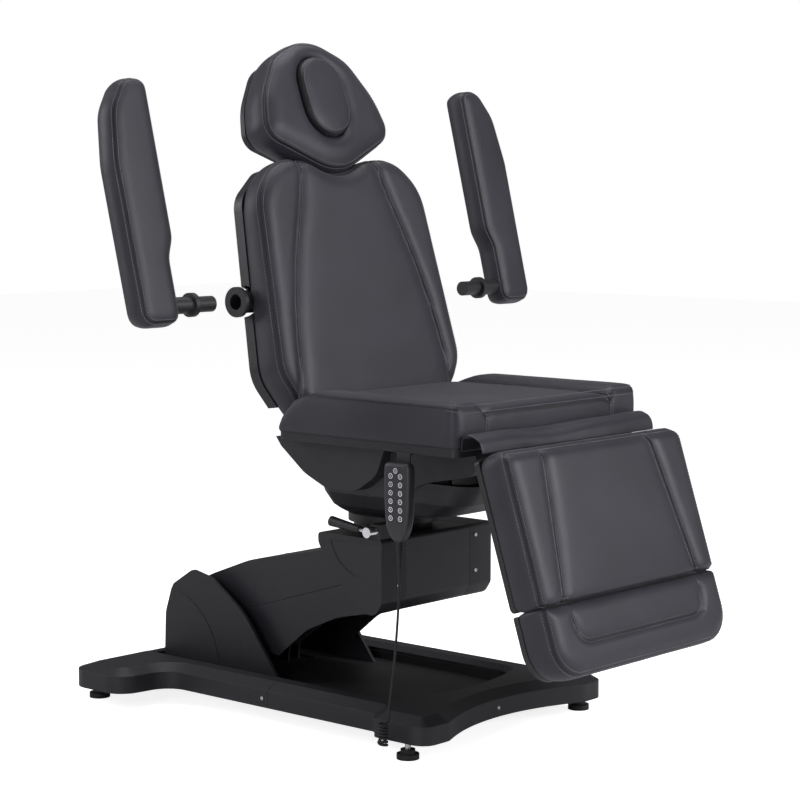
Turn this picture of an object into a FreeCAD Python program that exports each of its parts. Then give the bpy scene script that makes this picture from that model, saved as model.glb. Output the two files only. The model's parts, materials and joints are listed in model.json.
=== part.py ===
import FreeCAD, Part
import math
import os

# Powered treatment chair with a single lift arm, a swivelling tilting seat, a hinged backrest and
# leg rest, a sliding headrest and footrest, two pull-out armrests and a hand control on a cord.
# All lengths are millimetres. While it is being built the swivel axis is at x = y = 0, the floor is
# z = 0 and the sitter faces -Y. At the end everything moves so that the origin is the middle of the
# footprint of the whole chair.

# General values
WALL = 3.0              # plastic shells
SEAM = 0.8              # gap between neighbouring covers
SOFT_GAP = 0.3          # soft pieces stand this far from their neighbours
RUNNING_GAP = 0.06      # radial clearance of a shaft in its hub
OVERRUN = 60.0          # how far cutting tools run past what they cut
TILT_RAIL = 25.0        # square tube of the frames

# Base
BASE_BOTTOM = 34.0
BASE_EDGE = 72.0
BASE_TOP = 88.0
BASE_CHAMFER = 27.0
BASE_CORNER = 34.0
RAIL_HALF = 268.0
FRONT_HALF = 300.0
FRONT_Y = -350.0
FRONT_INNER_Y = -215.0
ARCH_HALF = 225.0
ARCH_Y = -252.0
ARCH_RADIUS = 480.0
REAR_HALF = 400.0
REAR_Y = 610.0
REAR_INNER_Y = 442.0
REAR_CORNER = 52.0
REAR_FILLET = 55.0
REAR_SLOPE = 48.0          # the covers fall away further along the rear edge
REAR_BOW = 10.0
COVER_SEAM_Y = 120.0
WELL_HALF = 194.0           # inner wall of the covers, all round the well
WELL_FRONT_Y = -172.0
WELL_ARCH_Y = -212.0
WELL_CORNER = 42.0
WELL_ARCH_RADIUS = 320.0
REAR_BORDER = 44.0           # of the base behind the well
WELL_REAR_Y = REAR_Y - REAR_BORDER
WELL_LIP = 17.0             # width of the slope that leads into the well
WELL_LIP_DROP = 10.0
TRAY_FLOOR = 52.0
TRAY_RIM_DROP = 16.0
TRAY_HOLE_HALF = 98.0
TRAY_HOLE_FRONT_Y = 330.0
TRAY_HOLE_REAR_Y = 492.0
FOOT_FRONT_X = 283.0
FOOT_FRONT_Y = -291.0
FOOT_REAR_X = 335.0
FOOT_REAR_IN = 28.0
FOOT_REAR_Y = REAR_Y - FOOT_REAR_IN
PAD_RADIUS = 23.0
PAD_HEIGHT = 11.0
PAD_NECK_RADIUS = 15.0
PAD_NECK_TOP = 20.0
STUD_RADIUS = 6.0
STUD_TOP = 66.0
CHASSIS_BOTTOM = 40.0
CHASSIS_LOW_TOP = 66.0
CHASSIS_RAIL_IN = 216.0
CHASSIS_RAIL_OUT = 237.0
CHASSIS_FRONT_Y = -246.0
CHASSIS_FRONT_DEPTH = 27.0
CHASSIS_REAR_IN = 54.0
CHASSIS_REAR_Y = REAR_Y - CHASSIS_REAR_IN
CHASSIS_REAR_DEPTH = 38.0
CHASSIS_REAR_HALF = 378.0
FOOT_PLATE_HALF_X = 13.0
FOOT_PLATE_HALF_Y = 40.0
BRIDGE_FRONT_Y = 325.0
BRIDGE_REAR_Y = 500.0
BASE_SCREW_RADIUS = 4.0
BASE_SCREW_HEAD = 2.0
BASE_SCREW_SHANK = 2.0
BASE_SCREW_LENGTH = 9.0
BASE_SCREW_Z = 53.0
BASE_SCREW_SETBACK = 16.0
CONTROL_LENGTH = 44.0
CONTROL_WIDTH = 190.0
CONTROL_HEIGHT = 60.0

# Pivot tower
TOWER_HALF = 156.0
TOWER_WALL = 8.0
TOWER_FRONT_Y = 192.0
TOWER_REAR_GAP = 4.0
TOWER_LENGTH = WELL_REAR_Y - TOWER_REAR_GAP - TOWER_FRONT_Y
TOWER_HEIGHT = 222.0
TOWER_REAR_WALL = 6.0
TOWER_SHARES = [
    (1.000, 0.000, 0.00), (0.987, 0.520, 0.30), (0.925, 0.820, 0.10), (0.746, 1.005, 0.10),
    (0.580, 0.950, 0.25), (0.305, 0.655, 0.90), (0.115, 0.250, 0.45), (0.000, 0.000, 0.00),
]
CHEEK_STEP_DEPTH = 3.0
CHEEK_STEP_OUTER = 262.0
CHEEK_STEP_INNER = 178.0

# Lift arm, a parallelogram of an upper arm and a lower link
PIVOT_Y = 440.0
PIVOT_RISE = 117.0           # of the arm's lower pivot over the covers
PIVOT_Z = BASE_TOP + PIVOT_RISE
HEAD_PIVOT_Y = -25.0
HEAD_PIVOT_RISE = 147.0
HEAD_PIVOT_Z = PIVOT_Z + HEAD_PIVOT_RISE
LINK_DROP = 70.0
PIVOT_SHAFT_RADIUS = 14.0
LINK_SHAFT_RADIUS = 9.0
LUG_IN = 30.0
LUG_THICK = 10.0
LUG_HALF_Y = 20.0
HUB_RADIUS = 27.0
HUB_GAP = 4.0
ARM_PLATE_THICK = 8.0
ARM_PLATE_RADIUS = 28.0
ARM_BRACE_RADIUS = 16.0
ARM_BRACE_SHARE = 0.5
LINK_HALF_X = 18.0
LINK_HALF_H = 13.0
LINK_EYE = 16.0
ARM_HALF = 118.0
ARM_COVER_FRONT_Y = -66.0
ARM_COVER_REACH = 88.0       # past the lower pivot
ARM_COVER_LENGTH = PIVOT_Y + ARM_COVER_REACH - ARM_COVER_FRONT_Y
ARM_COVER_BELOW = 98.0
ARM_COVER_BOTTOM = PIVOT_Z - ARM_COVER_BELOW
ARM_COVER_HEIGHT = 289.0
ARM_COVER_SHARES = [
    (1.000, 0.420, 0.12), (0.845, 0.560, 0.30), (0.650, 0.710, 0.90), (0.290, 0.865, 1.20), (0.000, 1.000, 0.145),
    (0.000, 0.470, 0.110), (0.205, 0.378, 0.30), (0.360, 0.240, 0.40), (0.505, 0.000, 0.012),
    (0.960, 0.150, 0.120),
]
ARM_FLOOR_REAR_SHARE = 0.24
ARM_SEAM_REAR_DROP = 66.0
ARM_SEAM_REAR_Z = PIVOT_Z - ARM_SEAM_REAR_DROP
ARM_SEAM_FRONT_DROP = 29.0
ARM_SEAM_FRONT_Z = HEAD_PIVOT_Z - ARM_SEAM_FRONT_DROP
ARM_ROOF_SLOT_HALF = 52.0
ARM_ROOF_SLOT_REAR = 50.0
ARM_ROOF_SLOT_DROP = 22.0
ARM_ROOF_SLOT_Z = HEAD_PIVOT_Z - ARM_ROOF_SLOT_DROP

# Lift actuator
ACTUATOR_X = 64.0
ACTUATOR_SETBACK = 68.0      # of its foot from the lower pivot
ACTUATOR_Y = PIVOT_Y - ACTUATOR_SETBACK
ACTUATOR_FOOT_DROP = 107.0
ACTUATOR_Z = PIVOT_Z - ACTUATOR_FOOT_DROP
ACTUATOR_RADIUS = 19.0
ACTUATOR_LENGTH = 150.0
ACTUATOR_EYE = 13.0
ACTUATOR_PIN = 6.0
ACTUATOR_EAR = 6.0
ACTUATOR_ROD_RADIUS = 9.0
ACTUATOR_ROD_HIDDEN = 90.0
ARM_PIN_SETBACK = 300.0
ARM_PIN_Y = PIVOT_Y - ARM_PIN_SETBACK
ARM_PIN_RISE = 57.0
ARM_PIN_Z = PIVOT_Z + ARM_PIN_RISE
ARM_PIN_RADIUS = 8.0
ARM_PIN_LENGTH = 40.0
ROD_END_GAP = 10.0

# Head housing that carries the swivel
HEAD_HALF = 179.0
HEAD_SEAM_X = 105.0
HEAD_FRONT_Y = -127.0
HEAD_LENGTH = 181.0
HEAD_BELOW = 104.0           # under the upper pivot
HEAD_BOTTOM = HEAD_PIVOT_Z - HEAD_BELOW
HEAD_HEIGHT = 163.0
HEAD_TOP = HEAD_BOTTOM + HEAD_HEIGHT
HEAD_SHARES = [
    (0.000, 1.000, 0.05), (0.000, 0.180, 0.10), (0.105, 0.000, 0.15), (0.330, 0.030, 0.22),
    (0.770, 0.500, 0.55), (1.000, 0.860, 0.15), (1.000, 1.000, 0.05),
]
HEAD_LIP = 20.0
HEAD_PLATE_THICK = 6.0
HEAD_PLATE_HALF = 168.0
HEAD_FLANGE_IN = 112.0
HEAD_FLANGE_OUT = 142.0
HEAD_FLANGE_DROP = 105.0
HEAD_SCREW_X = 126.0
HEAD_SCREW_UPPER_DROP = 24.0
HEAD_SCREW_LOWER_DROP = 102.0
HEAD_SCREW_UPPER_Z = HEAD_TOP - HEAD_SCREW_UPPER_DROP
HEAD_SCREW_LOWER_Z = HEAD_TOP - HEAD_SCREW_LOWER_DROP
HEAD_SCREW_RADIUS = 4.5
HEAD_SCREW_HEAD = 2.2
HEAD_SCREW_SHANK = 2.2
HEAD_SCREW_LENGTH = 11.0
CAP_EMBOSS_DEPTH = 2.5
CAP_EMBOSS_RADIUS = 95.0

# Turntable and its lock
TURN_LOWER_RADIUS = 85.0
TURN_LOWER_THICK = 12.0
TURN_UPPER_RADIUS = 97.0
TURN_UPPER_THICK = 21.0
TURN_GAP = 0.5
SPINDLE_RADIUS = 24.0
SPINDLE_DROP = 26.0
TURN_BOLT_CIRCLE = 40.0
TURN_BOLT_RADIUS = 6.0
TURN_BOLT_HEIGHT = 5.0
TURN_BOLT_COUNT = 6
LOCK_X = -196.0
LOCK_Y = -108.0
LOCK_OVER_HEAD = 17.0
LOCK_Z = HEAD_TOP + LOCK_OVER_HEAD
LOCK_BLOCK_LENGTH = 44.0
LOCK_BLOCK_HALF = 14.0
LOCK_STUD_RADIUS = 5.0
LOCK_BOSS_RADIUS = 11.0
LOCK_BOSS_LENGTH = 18.0
LOCK_STEM_RADIUS = 5.0
LOCK_STEM_LENGTH = 30.0
LOCK_GRIP_LENGTH = 82.0
LOCK_GRIP_SMALL = 8.0
LOCK_GRIP_LARGE = 11.0
LOCK_RISE = 7.0

# Tilt cradle and bowl
TILT_Y = -60.0
TILT_OVER_HEAD = 159.0
TILT_Z = HEAD_TOP + TILT_OVER_HEAD
TILT_SHAFT_RADIUS = 12.0
CRADLE_PLATE_THICK = 8.0
CRADLE_HALF = 92.0
CRADLE_FRONT = 97.0
CRADLE_REAR = 43.0
CRADLE_CORNER = 30.0
CRADLE_IN = 80.0
CRADLE_EYE = 24.0
BOWL_LEVELS_SHARES = [
    (0.00, 0.56, 0.15, 0.91), (0.13, 0.70, 0.45, 0.93), (0.25, 0.80, 0.66, 0.945), (0.55, 0.92, 0.86, 0.97),
    (1.00, 1.00, 1.00, 1.00),
]
BOWL_HALF = 196.0
BOWL_FRONT = 385.0
BOWL_REAR = 62.0
BOWL_CENTRE_Y = -60.0
BOWL_DROP = 25.0             # of its rim under the tilt axis
BOWL_TOP = TILT_Z - BOWL_DROP
BOWL_CORNER = 45.0

# Seat
SEAT_HALF = 300.0
SEAT_FRONT_Y = -430.0
SEAT_REAR_Y = 56.0
BOARD_OVER_TILT = 48.0
BOARD_THICK = 17.0
SEAT_THICK = 87.0
SEAT_EDGE_DROP = 10.0
SEAT_SEAM_DEPTH = 20.0
SEAT_CENTRE_DEPTH = 13.0
BOARD_BOTTOM = TILT_Z + BOARD_OVER_TILT
SEAT_BOTTOM = BOARD_BOTTOM + BOARD_THICK
SEAT_CROWN = SEAT_BOTTOM + SEAT_THICK
SEAT_EDGE_TOP = SEAT_CROWN - SEAT_EDGE_DROP
SEAT_SEAM_TOP = SEAT_CROWN - SEAT_SEAM_DEPTH
SEAT_CENTRE_TOP = SEAT_CROWN - SEAT_CENTRE_DEPTH
SEAT_SEAM_X = 205.0
SEAT_DRAW_IN = 5.0
SEAT_REAR_ROUND = 76.0
SEAT_FRONT_ROUND = 16.0
BOARD_OVERHANG = 4.0
BOARD_REAR_Y = SEAT_REAR_Y + BOARD_OVERHANG
BOARD_ROUND = 18.0
FRAME_RAIL_IN = 100.0
FRAME_RAIL_THICK = 8.0
FRAME_RAIL_DROP = 26.0
FRAME_RAIL_BOTTOM = BOARD_BOTTOM - FRAME_RAIL_DROP
FRAME_OVERHANG = 4.0
FRAME_REAR_Y = BOARD_REAR_Y + FRAME_OVERHANG
FRAME_CROSS_DEPTH = 30.0
FRAME_EYE = 22.0
SKIRT_HALF = 248.0
SKIRT_TOP_HALF = 256.0
SKIRT_OVERHANG = 46.0
SKIRT_REAR_Y = SEAT_REAR_Y + SKIRT_OVERHANG
SKIRT_LOBE_LENGTH = 307.0
SKIRT_HEIGHT = 100.5
SKIRT_GAP = 0.5
SKIRT_BOTTOM = BOARD_BOTTOM - SKIRT_GAP - SKIRT_HEIGHT
SKIRT_LOBE_SHARES = [
    (1.000, 1.000, 0.00), (0.956, 0.810, 0.20), (0.750, 0.290, 0.80), (0.547, 0.010, 0.70),
    (0.300, 0.000, 0.70), (0.090, 0.400, 0.60), (0.000, 1.000, 0.00),
]
APRON_SHELL_HALF = 208.0
APRON_SHELL_TOP_HALF = 232.0
FRONT_LOBE_REAR_Y = -110.0
FRONT_LOBE_LENGTH = 312.0
FRONT_LOBE_SHARES = [
    (1.000, 1.000, 0.00), (1.000, -0.150, 0.30), (0.800, -0.150, 0.40), (0.470, 0.300, 1.60),
    (0.080, 0.540, 0.30), (0.000, 0.700, 0.10), (0.000, 1.000, 0.00),
]
APRON_HALF = 290.0
APRON_THICK = 4.0
APRON_ROOT_DROP = 7.0
APRON_ROOT_Z = SEAT_BOTTOM - APRON_ROOT_DROP
APRON_REACH = 54.0
APRON_RISE = 36.0
APRON_SHARES = [
    (0.000, 0.000, 0.00), (0.000, 0.800, 0.40), (0.360, 1.060, 0.50), (0.800, 0.800, 0.60), (1.000, 0.000, 0.00),
]

# Backrest, in its own frame: s runs up from the hinge, v runs forward from the hinge plane
BACK_HINGE_BEHIND = 34.0
BACK_HINGE_RISE = 22.0
BACK_HINGE_Y = SEAT_REAR_Y + BACK_HINGE_BEHIND
BACK_HINGE_Z = BOARD_BOTTOM + BACK_HINGE_RISE
BACK_TILT = 14.0
BACK_FRONT = 73.0
BACK_SEAM_DEPTH = 7.0
BACK_CENTRE_DEPTH = 2.0
BACK_EDGE_DEPTH = 17.0
BACK_REAR_LOW = -8.0
BACK_REAR_HIGH = 14.0
BACK_HALF = 288.0
BACK_HEIGHT = 552.0
BACK_DRAW_IN = 7.0
BACK_WIDTH_SHARES = [
    (0.015, 0.84, 0.86), (0.090, 0.94, 0.83), (0.175, 1.00, 0.81), (0.360, 0.980, 0.765),
    (0.540, 0.960, 0.690), (0.720, 0.940, 0.580), (0.850, 0.925, 0.480), (1.000, 0.900, 0.400),
]
BACK_OUTLINE_SHARES = [
    (0.795, 0.014, 0.12), (1.010, 0.185, 0.30), (0.912, 0.885, 0.22), (0.660, 0.995, 0.16),
    (0.330, 1.000, 0.12), (0.000, 0.925, 0.25),
]
BACK_SHELL_REAR = -36.0
BACK_SHELL_START = 42.0
BACK_SHELL_INSET = 2.0
BACK_SHELL_EDGE = 25.0
BACK_SHELL_TAPER = 34.0
BACK_RAIL_X = 150.0
BACK_RAIL_HALF_X = 11.0
BACK_RAIL_FRONT = -14.0
BACK_RAIL_REAR = -32.7
BACK_RAIL_TOP = 470.0
BACK_CROSS_HEIGHT = 26.0
BACK_CROSS_TOP_S = 430.0
BACK_EYE = 20.0
BACK_EAR_THICK = 8.0
BACK_EAR_X = 178.0
HINGE_SHAFT_RADIUS = 9.0
SOCKET_S = 270.0
SOCKET_V = -15.0
SOCKET_OUTER = 32.0
SOCKET_FACE_X = 305.0
SOCKET_INNER_X = 236.0
SOCKET_FLANGE = 9.0
SOCKET_BODY = 24.0

# Headrest, in its own frame above the backrest
HEADREST_S = 549.0
HEADREST_V = 76.0
HEADREST_LEAN = 6.0
HEADREST_THICK = 86.0
HEADREST_PAN_THICK = 13.0
HEADREST_HALF = 203.0
HEADREST_HEIGHT = 286.0
HEADREST_OUTLINE_SHARES = [
    (0.000, -0.077, 0.74), (1.000, 0.224, 0.236), (0.877, 0.552, 0.887), (0.576, 0.864, 0.493), (0.000, 1.049, 0.69),
]
HEADREST_LEVEL_SHARES = [(0.00, 0.060), (0.45, 0.000), (0.86, 0.030), (1.00, 0.130)]
PLUG_HALF = 66.0
PLUG_LOW = 61.0
PLUG_HIGH = 243.0
PLUG_DEPTH = 60.0
PLUG_CROWN = 12.0
PLUG_EDGE = 9.0
ROD_X = 60.0
ROD_RADIUS = 7.0
ROD_V = -22.0
ROD_LOW = 330.0
ROD_HIGH = 640.0
GUIDE_RADIUS = 10.0
GUIDE_LOW = 400.0
GUIDE_HIGH = 496.0

# Armrests, drawn out of their sockets
DRAWN_RIGHT = 122.0
DRAWN_LEFT = 180.0
PIN_RADIUS = 16.5
PIN_LENGTH = 52.0
PIN_FLANGE_RADIUS = 25.0
PIN_FLANGE_THICK = 12.0
PIN_TUBE_RADIUS = 17.5
PIN_TUBE_LENGTH = 50.0
PIN_DEPTH = 42.0
SOCKET_GAP = 0.1
ARM_PAD_WIDTH = 102.0
ARM_PAD_LENGTH = 510.0
ARM_PAD_BELOW = 41.0
ARM_PAD_THICK = 63.0
ARM_PAD_TILT = 14.0
ARM_PAD_OUTLINE_SHARES = [
    (0.000, 0.000, 0.26), (1.000, 0.000, 0.32), (1.030, 0.660, 1.60), (0.860, 0.880, 0.90), (0.420, 1.010, 0.45),
    (-0.180, 1.000, 0.24), (-0.180, 0.345, 0.40), (0.000, 0.265, 0.40),
]
ARM_PAD_LEVEL_SHARES = [(0.00, 0.20), (0.10, 0.07), (0.30, 0.00), (0.70, 0.00), (0.90, 0.07), (1.00, 0.22)]

# Leg rest and footrest, in their own frame: s runs down from the hinge, v runs forward
LEG_HINGE_AHEAD = 17.0
LEG_HINGE_DROP = 14.0
LEG_HINGE_Y = SEAT_FRONT_Y - LEG_HINGE_AHEAD
LEG_HINGE_Z = BOARD_BOTTOM - LEG_HINGE_DROP
LEG_TILT = 18.3
LEG_REAR = 20.0
LEG_PAN_THICK = 12.0
LEG_FRONT = 107.0
LEG_TOP_S = -6.0
LEG_BOTTOM_S = 297.0
LEG_HALF = 298.0
LEG_DRAW_IN = 8.0
LEG_SEAM_TOP_SHARE = 0.59
LEG_SEAM_BOTTOM_SHARE = 0.75
LEG_ROUND = 22.0
LEG_GAP = 4.0
FOOT_LENGTH = 142.0
FOOT_CORNER = 70.0
FOOT_LEVEL_SHARES = [(0.00, 6.0), (0.45, 0.0), (0.86, 7.0), (1.00, 24.0)]
FOOT_PANEL_INSET = 84.0
FOOT_GROOVE = 5.0
FOOT_GROOVE_DEPTH = 4.0
SLIDE_X = 170.0
SLIDE_RADIUS = 8.0
SLIDE_V = 4.0
SLIDE_TOP_S = 84.0
SLEEVE_LENGTH = 60.0
SLEEVE_HALF = 13.0
LEG_EAR_X = 120.0
LEG_EAR_THICK = 8.0
LEG_EYE = 16.0
BUFFER_RADIUS = 13.0
BUFFER_LENGTH = 14.0
BUFFER_S = 40.0

# Hand control and its cord
HANDSET_OUT = 20.0           # of its face beyond the side of the seat
HANDSET_X = -SEAT_HALF - HANDSET_OUT
HANDSET_THICK = 23.0
HANDSET_MID_Y = -291.0
HANDSET_HALF = 33.0
HANDSET_DROP = 18.0
HANDSET_TOP = BOARD_BOTTOM - HANDSET_DROP
HANDSET_LENGTH = 158.0
HANDSET_SHARES = [
    (-0.90, 1.00, 0.20), (0.90, 1.00, 0.20), (0.90, 0.72, 1.00), (1.04, 0.30, 0.60),
    (0.42, 0.00, 0.25), (-0.42, 0.00, 0.25), (-1.04, 0.30, 0.60), (-0.90, 0.72, 1.00),
]
KEY_RADIUS = 5.6
KEY_HEIGHT = 1.6
KEY_PITCH = 16.8
KEY_COLUMN = 12.5
KEY_TOP_DROP = 22.0
KEY_ROWS = 6
KEYPAD_THICK = 0.8
KEYPAD_BOTTOM_SHARE = 0.31
HOOK_THICK = 3.0
HOOK_HALF = 17.0
HOOK_DROP = 62.0
HOOK_RUN = 60.0
RELIEF_LENGTH = 55.6
RELIEF_LARGE = 7.0
RELIEF_SMALL = 4.0
CORD_RADIUS = 2.5
CURL_RADIUS = 8.0
CURL_PITCH = 6.4
CURL_TURNS = 7


def vec(x, y, z):
    return FreeCAD.Vector(x, y, z)


def block(x0, x1, y0, y1, z0, z1):
    return Part.makeBox(x1 - x0, y1 - y0, z1 - z0, vec(x0, y0, z0))


def rod_x(radius, x0, x1, y, z):
    return Part.makeCylinder(radius, x1 - x0, vec(x0, y, z), vec(1, 0, 0))


def rod_y(radius, x, y0, y1, z):
    return Part.makeCylinder(radius, y1 - y0, vec(x, y0, z), vec(0, 1, 0))


def rod_z(radius, x, y, z0, z1):
    return Part.makeCylinder(radius, z1 - z0, vec(x, y, z0), vec(0, 0, 1))


def mirrored(shape):
    return shape.mirror(vec(0, 0, 0), vec(1, 0, 0))


def both_sides(shape):
    return shape.fuse(mirrored(shape))


def pair(shape):
    return Part.Compound([shape, mirrored(shape)])


def fused(shapes):
    result = shapes[0]
    for shape in shapes[1:]:
        result = result.fuse(shape)
    return result.removeSplitter()


def scaled(shares, origin, size):
    """Points (a, b, radius) of an outline from shares of its length and height."""
    smaller = min(abs(size[0]), abs(size[1]))
    points = []
    for a, b, radius in shares:
        points.append((origin[0] + a * size[0], origin[1] + b * size[1], radius * smaller))
    return points


def mirrored_outline(points):
    """Close a right half outline with its mirror image; points on the centre line count once."""
    left = [(-a, b, radius) for a, b, radius in reversed(points) if a != 0]
    return points + left


def unit(a, b):
    length = math.hypot(a, b)
    return a / length, b / length


def corner(points, index):
    """Directions into and out of a corner, and the turn between them."""
    a, b, radius = points[index]
    before = points[index - 1]
    after = points[(index + 1) % len(points)]
    into = unit(a - before[0], b - before[1])
    out = unit(after[0] - a, after[1] - b)
    cross = into[0] * out[1] - into[1] * out[0]
    dot = into[0] * out[0] + into[1] * out[1]
    return into, out, math.atan2(cross, dot)


def rounded_wire(points, place):
    """Closed wire of straight runs with a tangent arc at each corner that has a radius."""
    ends = []
    for index, (a, b, radius) in enumerate(points):
        into, out, turn = corner(points, index)
        if radius <= 0 or turn == 0:
            ends.append(((a, b), None, (a, b)))
            continue
        reach = radius * math.tan(abs(turn) / 2)
        start = (a - into[0] * reach, b - into[1] * reach)
        end = (a + out[0] * reach, b + out[1] * reach)
        inward = unit(out[0] - into[0], out[1] - into[1])
        depth = radius / math.cos(turn / 2) - radius
        middle = (a + inward[0] * depth, b + inward[1] * depth)
        ends.append((start, middle, end))
    edges = []
    for index, (start, middle, end) in enumerate(ends):
        if middle:
            edges.append(Part.Arc(place(*start), place(*middle), place(*end)).toShape())
        follow = ends[(index + 1) % len(ends)][0]
        edges.append(Part.makeLine(place(*end), place(*follow)))
    return Part.Wire(edges)


def inset(points, distance):
    """Move every run of an outline inwards; corners keep their centres."""
    area = sum(p[0] * q[1] - q[0] * p[1] for p, q in zip(points, points[1:] + points[:1]))
    side = math.copysign(1, area)
    result = []
    for index, (a, b, radius) in enumerate(points):
        into, out, turn = corner(points, index)
        normal_in = (-into[1] * side, into[0] * side)
        normal_out = (-out[1] * side, out[0] * side)
        share = distance / (1 + normal_in[0] * normal_out[0] + normal_in[1] * normal_out[1])
        moved = (a + (normal_in[0] + normal_out[0]) * share, b + (normal_in[1] + normal_out[1]) * share)
        if radius > 0:
            radius = max(radius - distance * math.copysign(1, turn * side), radius * 0.1)
        result.append((moved[0], moved[1], radius))
    return result


def side_prism(points, x0, x1):
    """Solid between x0 and x1 with an outline of (y, z, radius) points."""
    wire = rounded_wire(points, lambda a, b: vec(x0, a, b))
    return Part.Face(wire).extrude(vec(x1 - x0, 0, 0))


def plan_prism(points, z0, z1):
    """Solid between z0 and z1 with an outline of (x, y, radius) points."""
    wire = rounded_wire(points, lambda a, b: vec(a, b, z0))
    return Part.Face(wire).extrude(vec(0, 0, z1 - z0))


def front_prism(points, v0, v1):
    """Solid between v0 and v1 in front of a pad's hinge plane, outline of (x, s, radius) points."""
    wire = rounded_wire(points, lambda a, b: vec(a, -v0, b))
    return Part.Face(wire).extrude(vec(0, v0 - v1, 0))


def loft(wires):
    return Part.makeLoft(wires, True, True)


def lean(shape, y, z, tilt):
    """Stand a shape built at the origin on a hinge at (y, z), leaning back by tilt degrees."""
    placed = shape.copy()
    placed.rotate(vec(0, 0, 0), vec(1, 0, 0), -tilt)
    placed.translate(vec(0, y, z))
    return placed


def bar(x0, x1, start, end, half_height):
    """Flat bar between two points (y, z), round at both ends."""
    along = unit(end[0] - start[0], end[1] - start[1])
    across = (-along[1] * half_height, along[0] * half_height)
    corners = [
        (start[0] + across[0], start[1] + across[1], 0), (start[0] - across[0], start[1] - across[1], 0),
        (end[0] - across[0], end[1] - across[1], 0), (end[0] + across[0], end[1] + across[1], 0),
    ]
    body = side_prism(corners, x0, x1)
    return fused([body, rod_x(half_height, x0, x1, *start), rod_x(half_height, x0, x1, *end)])


def pad_section(half, draw_in, seam, heights, place):
    """Cross-section of a cushion: flat rear, drawn-in sides, two side rolls and a crowned centre."""
    rear, edge, crown, valley, centre = heights
    roll = (half + seam) / 2
    waist = (rear + edge) / 2
    points = [
        (half - draw_in, rear), (half, waist), (half - draw_in, edge), (roll, crown), (seam, valley),
        (0, centre), (-seam, valley), (-roll, crown), (draw_in - half, edge), (-half, waist), (draw_in - half, rear),
    ]
    spots = [place(*point) for point in points]
    edges = [Part.Arc(*spots[first:first + 3]).toShape() for first in range(0, 10, 2)]
    edges.append(Part.makeLine(spots[-1], spots[0]))
    return Part.Wire(edges)


def crescent_cut(depth, outer, inner, face_x, centre):
    """Shallow band between two circles, sunk into a face that looks along -X."""
    ring = rod_x(outer, face_x - OVERRUN, face_x + depth, *centre)
    return ring.cut(rod_x(inner, face_x - OVERRUN, face_x + depth, *centre))


def screw_head(radius, head, shank, length, place, direction):
    """Round screw head with a shank that goes into the surface behind it."""
    back = direction * -1
    top = Part.makeCylinder(radius, head, place, direction)
    return top.fuse(Part.makeCylinder(shank, length, place, back))


# Base pieces

def base_outline():
    """Plan of the base covers; the rounded rear corners reach REAR_Y, and a shallow bow lies between them."""
    lean = REAR_BOW / REAR_HALF
    rear = REAR_Y + REAR_CORNER * (math.hypot(1, lean) - 1 + lean)
    bow_radius = (REAR_HALF - 2 * REAR_CORNER) / lean
    right = [
        (0, ARCH_Y, ARCH_RADIUS), (ARCH_HALF, FRONT_Y, BASE_CORNER), (FRONT_HALF, FRONT_Y, BASE_CORNER),
        (FRONT_HALF, FRONT_INNER_Y, BASE_CORNER / 2), (RAIL_HALF, FRONT_INNER_Y + BASE_CHAMFER, BASE_CORNER / 2),
        (RAIL_HALF, REAR_INNER_Y - BASE_CORNER / 2, REAR_FILLET), (REAR_HALF, REAR_INNER_Y, REAR_CORNER),
        (REAR_HALF, rear, REAR_CORNER), (0, rear - REAR_BOW, bow_radius),
    ]
    return mirrored_outline(right)


def ridge_outline():
    """The top edge of the covers, drawn further in along the rear."""
    limit = REAR_Y - REAR_SLOPE
    further = REAR_SLOPE - BASE_CHAMFER
    return [(a, b - further if b > limit else b, radius) for a, b, radius in inset(base_outline(), BASE_CHAMFER)]


def well_outline():
    right = [
        (0, WELL_ARCH_Y, WELL_ARCH_RADIUS), (WELL_HALF, WELL_FRONT_Y, WELL_CORNER),
        (WELL_HALF, WELL_REAR_Y, WELL_CORNER / 3),
    ]
    return mirrored_outline(right)


def well_lip(distance):
    """The slope that leads from the ridge of the covers down to the well."""
    low = BASE_TOP - WELL_LIP_DROP - distance
    narrow = inset(well_outline(), -distance) if distance else well_outline()
    wide = inset(well_outline(), -WELL_LIP - distance)
    wires = [
        rounded_wire(narrow, lambda a, b: vec(a, b, low)),
        rounded_wire(wide, lambda a, b: vec(a, b, BASE_TOP - distance)),
    ]
    return loft(wires).fuse(plan_prism(wide, BASE_TOP - distance, BASE_TOP + OVERRUN))


def base_body(distance):
    """Outer form of the base covers, or its hollow when distance is the wall."""
    outline = inset(base_outline(), distance) if distance else base_outline()
    low = BASE_BOTTOM - (OVERRUN if distance else 0)
    ridge = inset(ridge_outline(), distance) if distance else ridge_outline()
    skirt = plan_prism(outline, low, BASE_EDGE)
    slope = [
        rounded_wire(outline, lambda a, b: vec(a, b, BASE_EDGE)),
        rounded_wire(ridge, lambda a, b: vec(a, b, BASE_TOP - distance)),
    ]
    return skirt.fuse(loft(slope)).cut(well_lip(distance)).removeSplitter()


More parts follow.
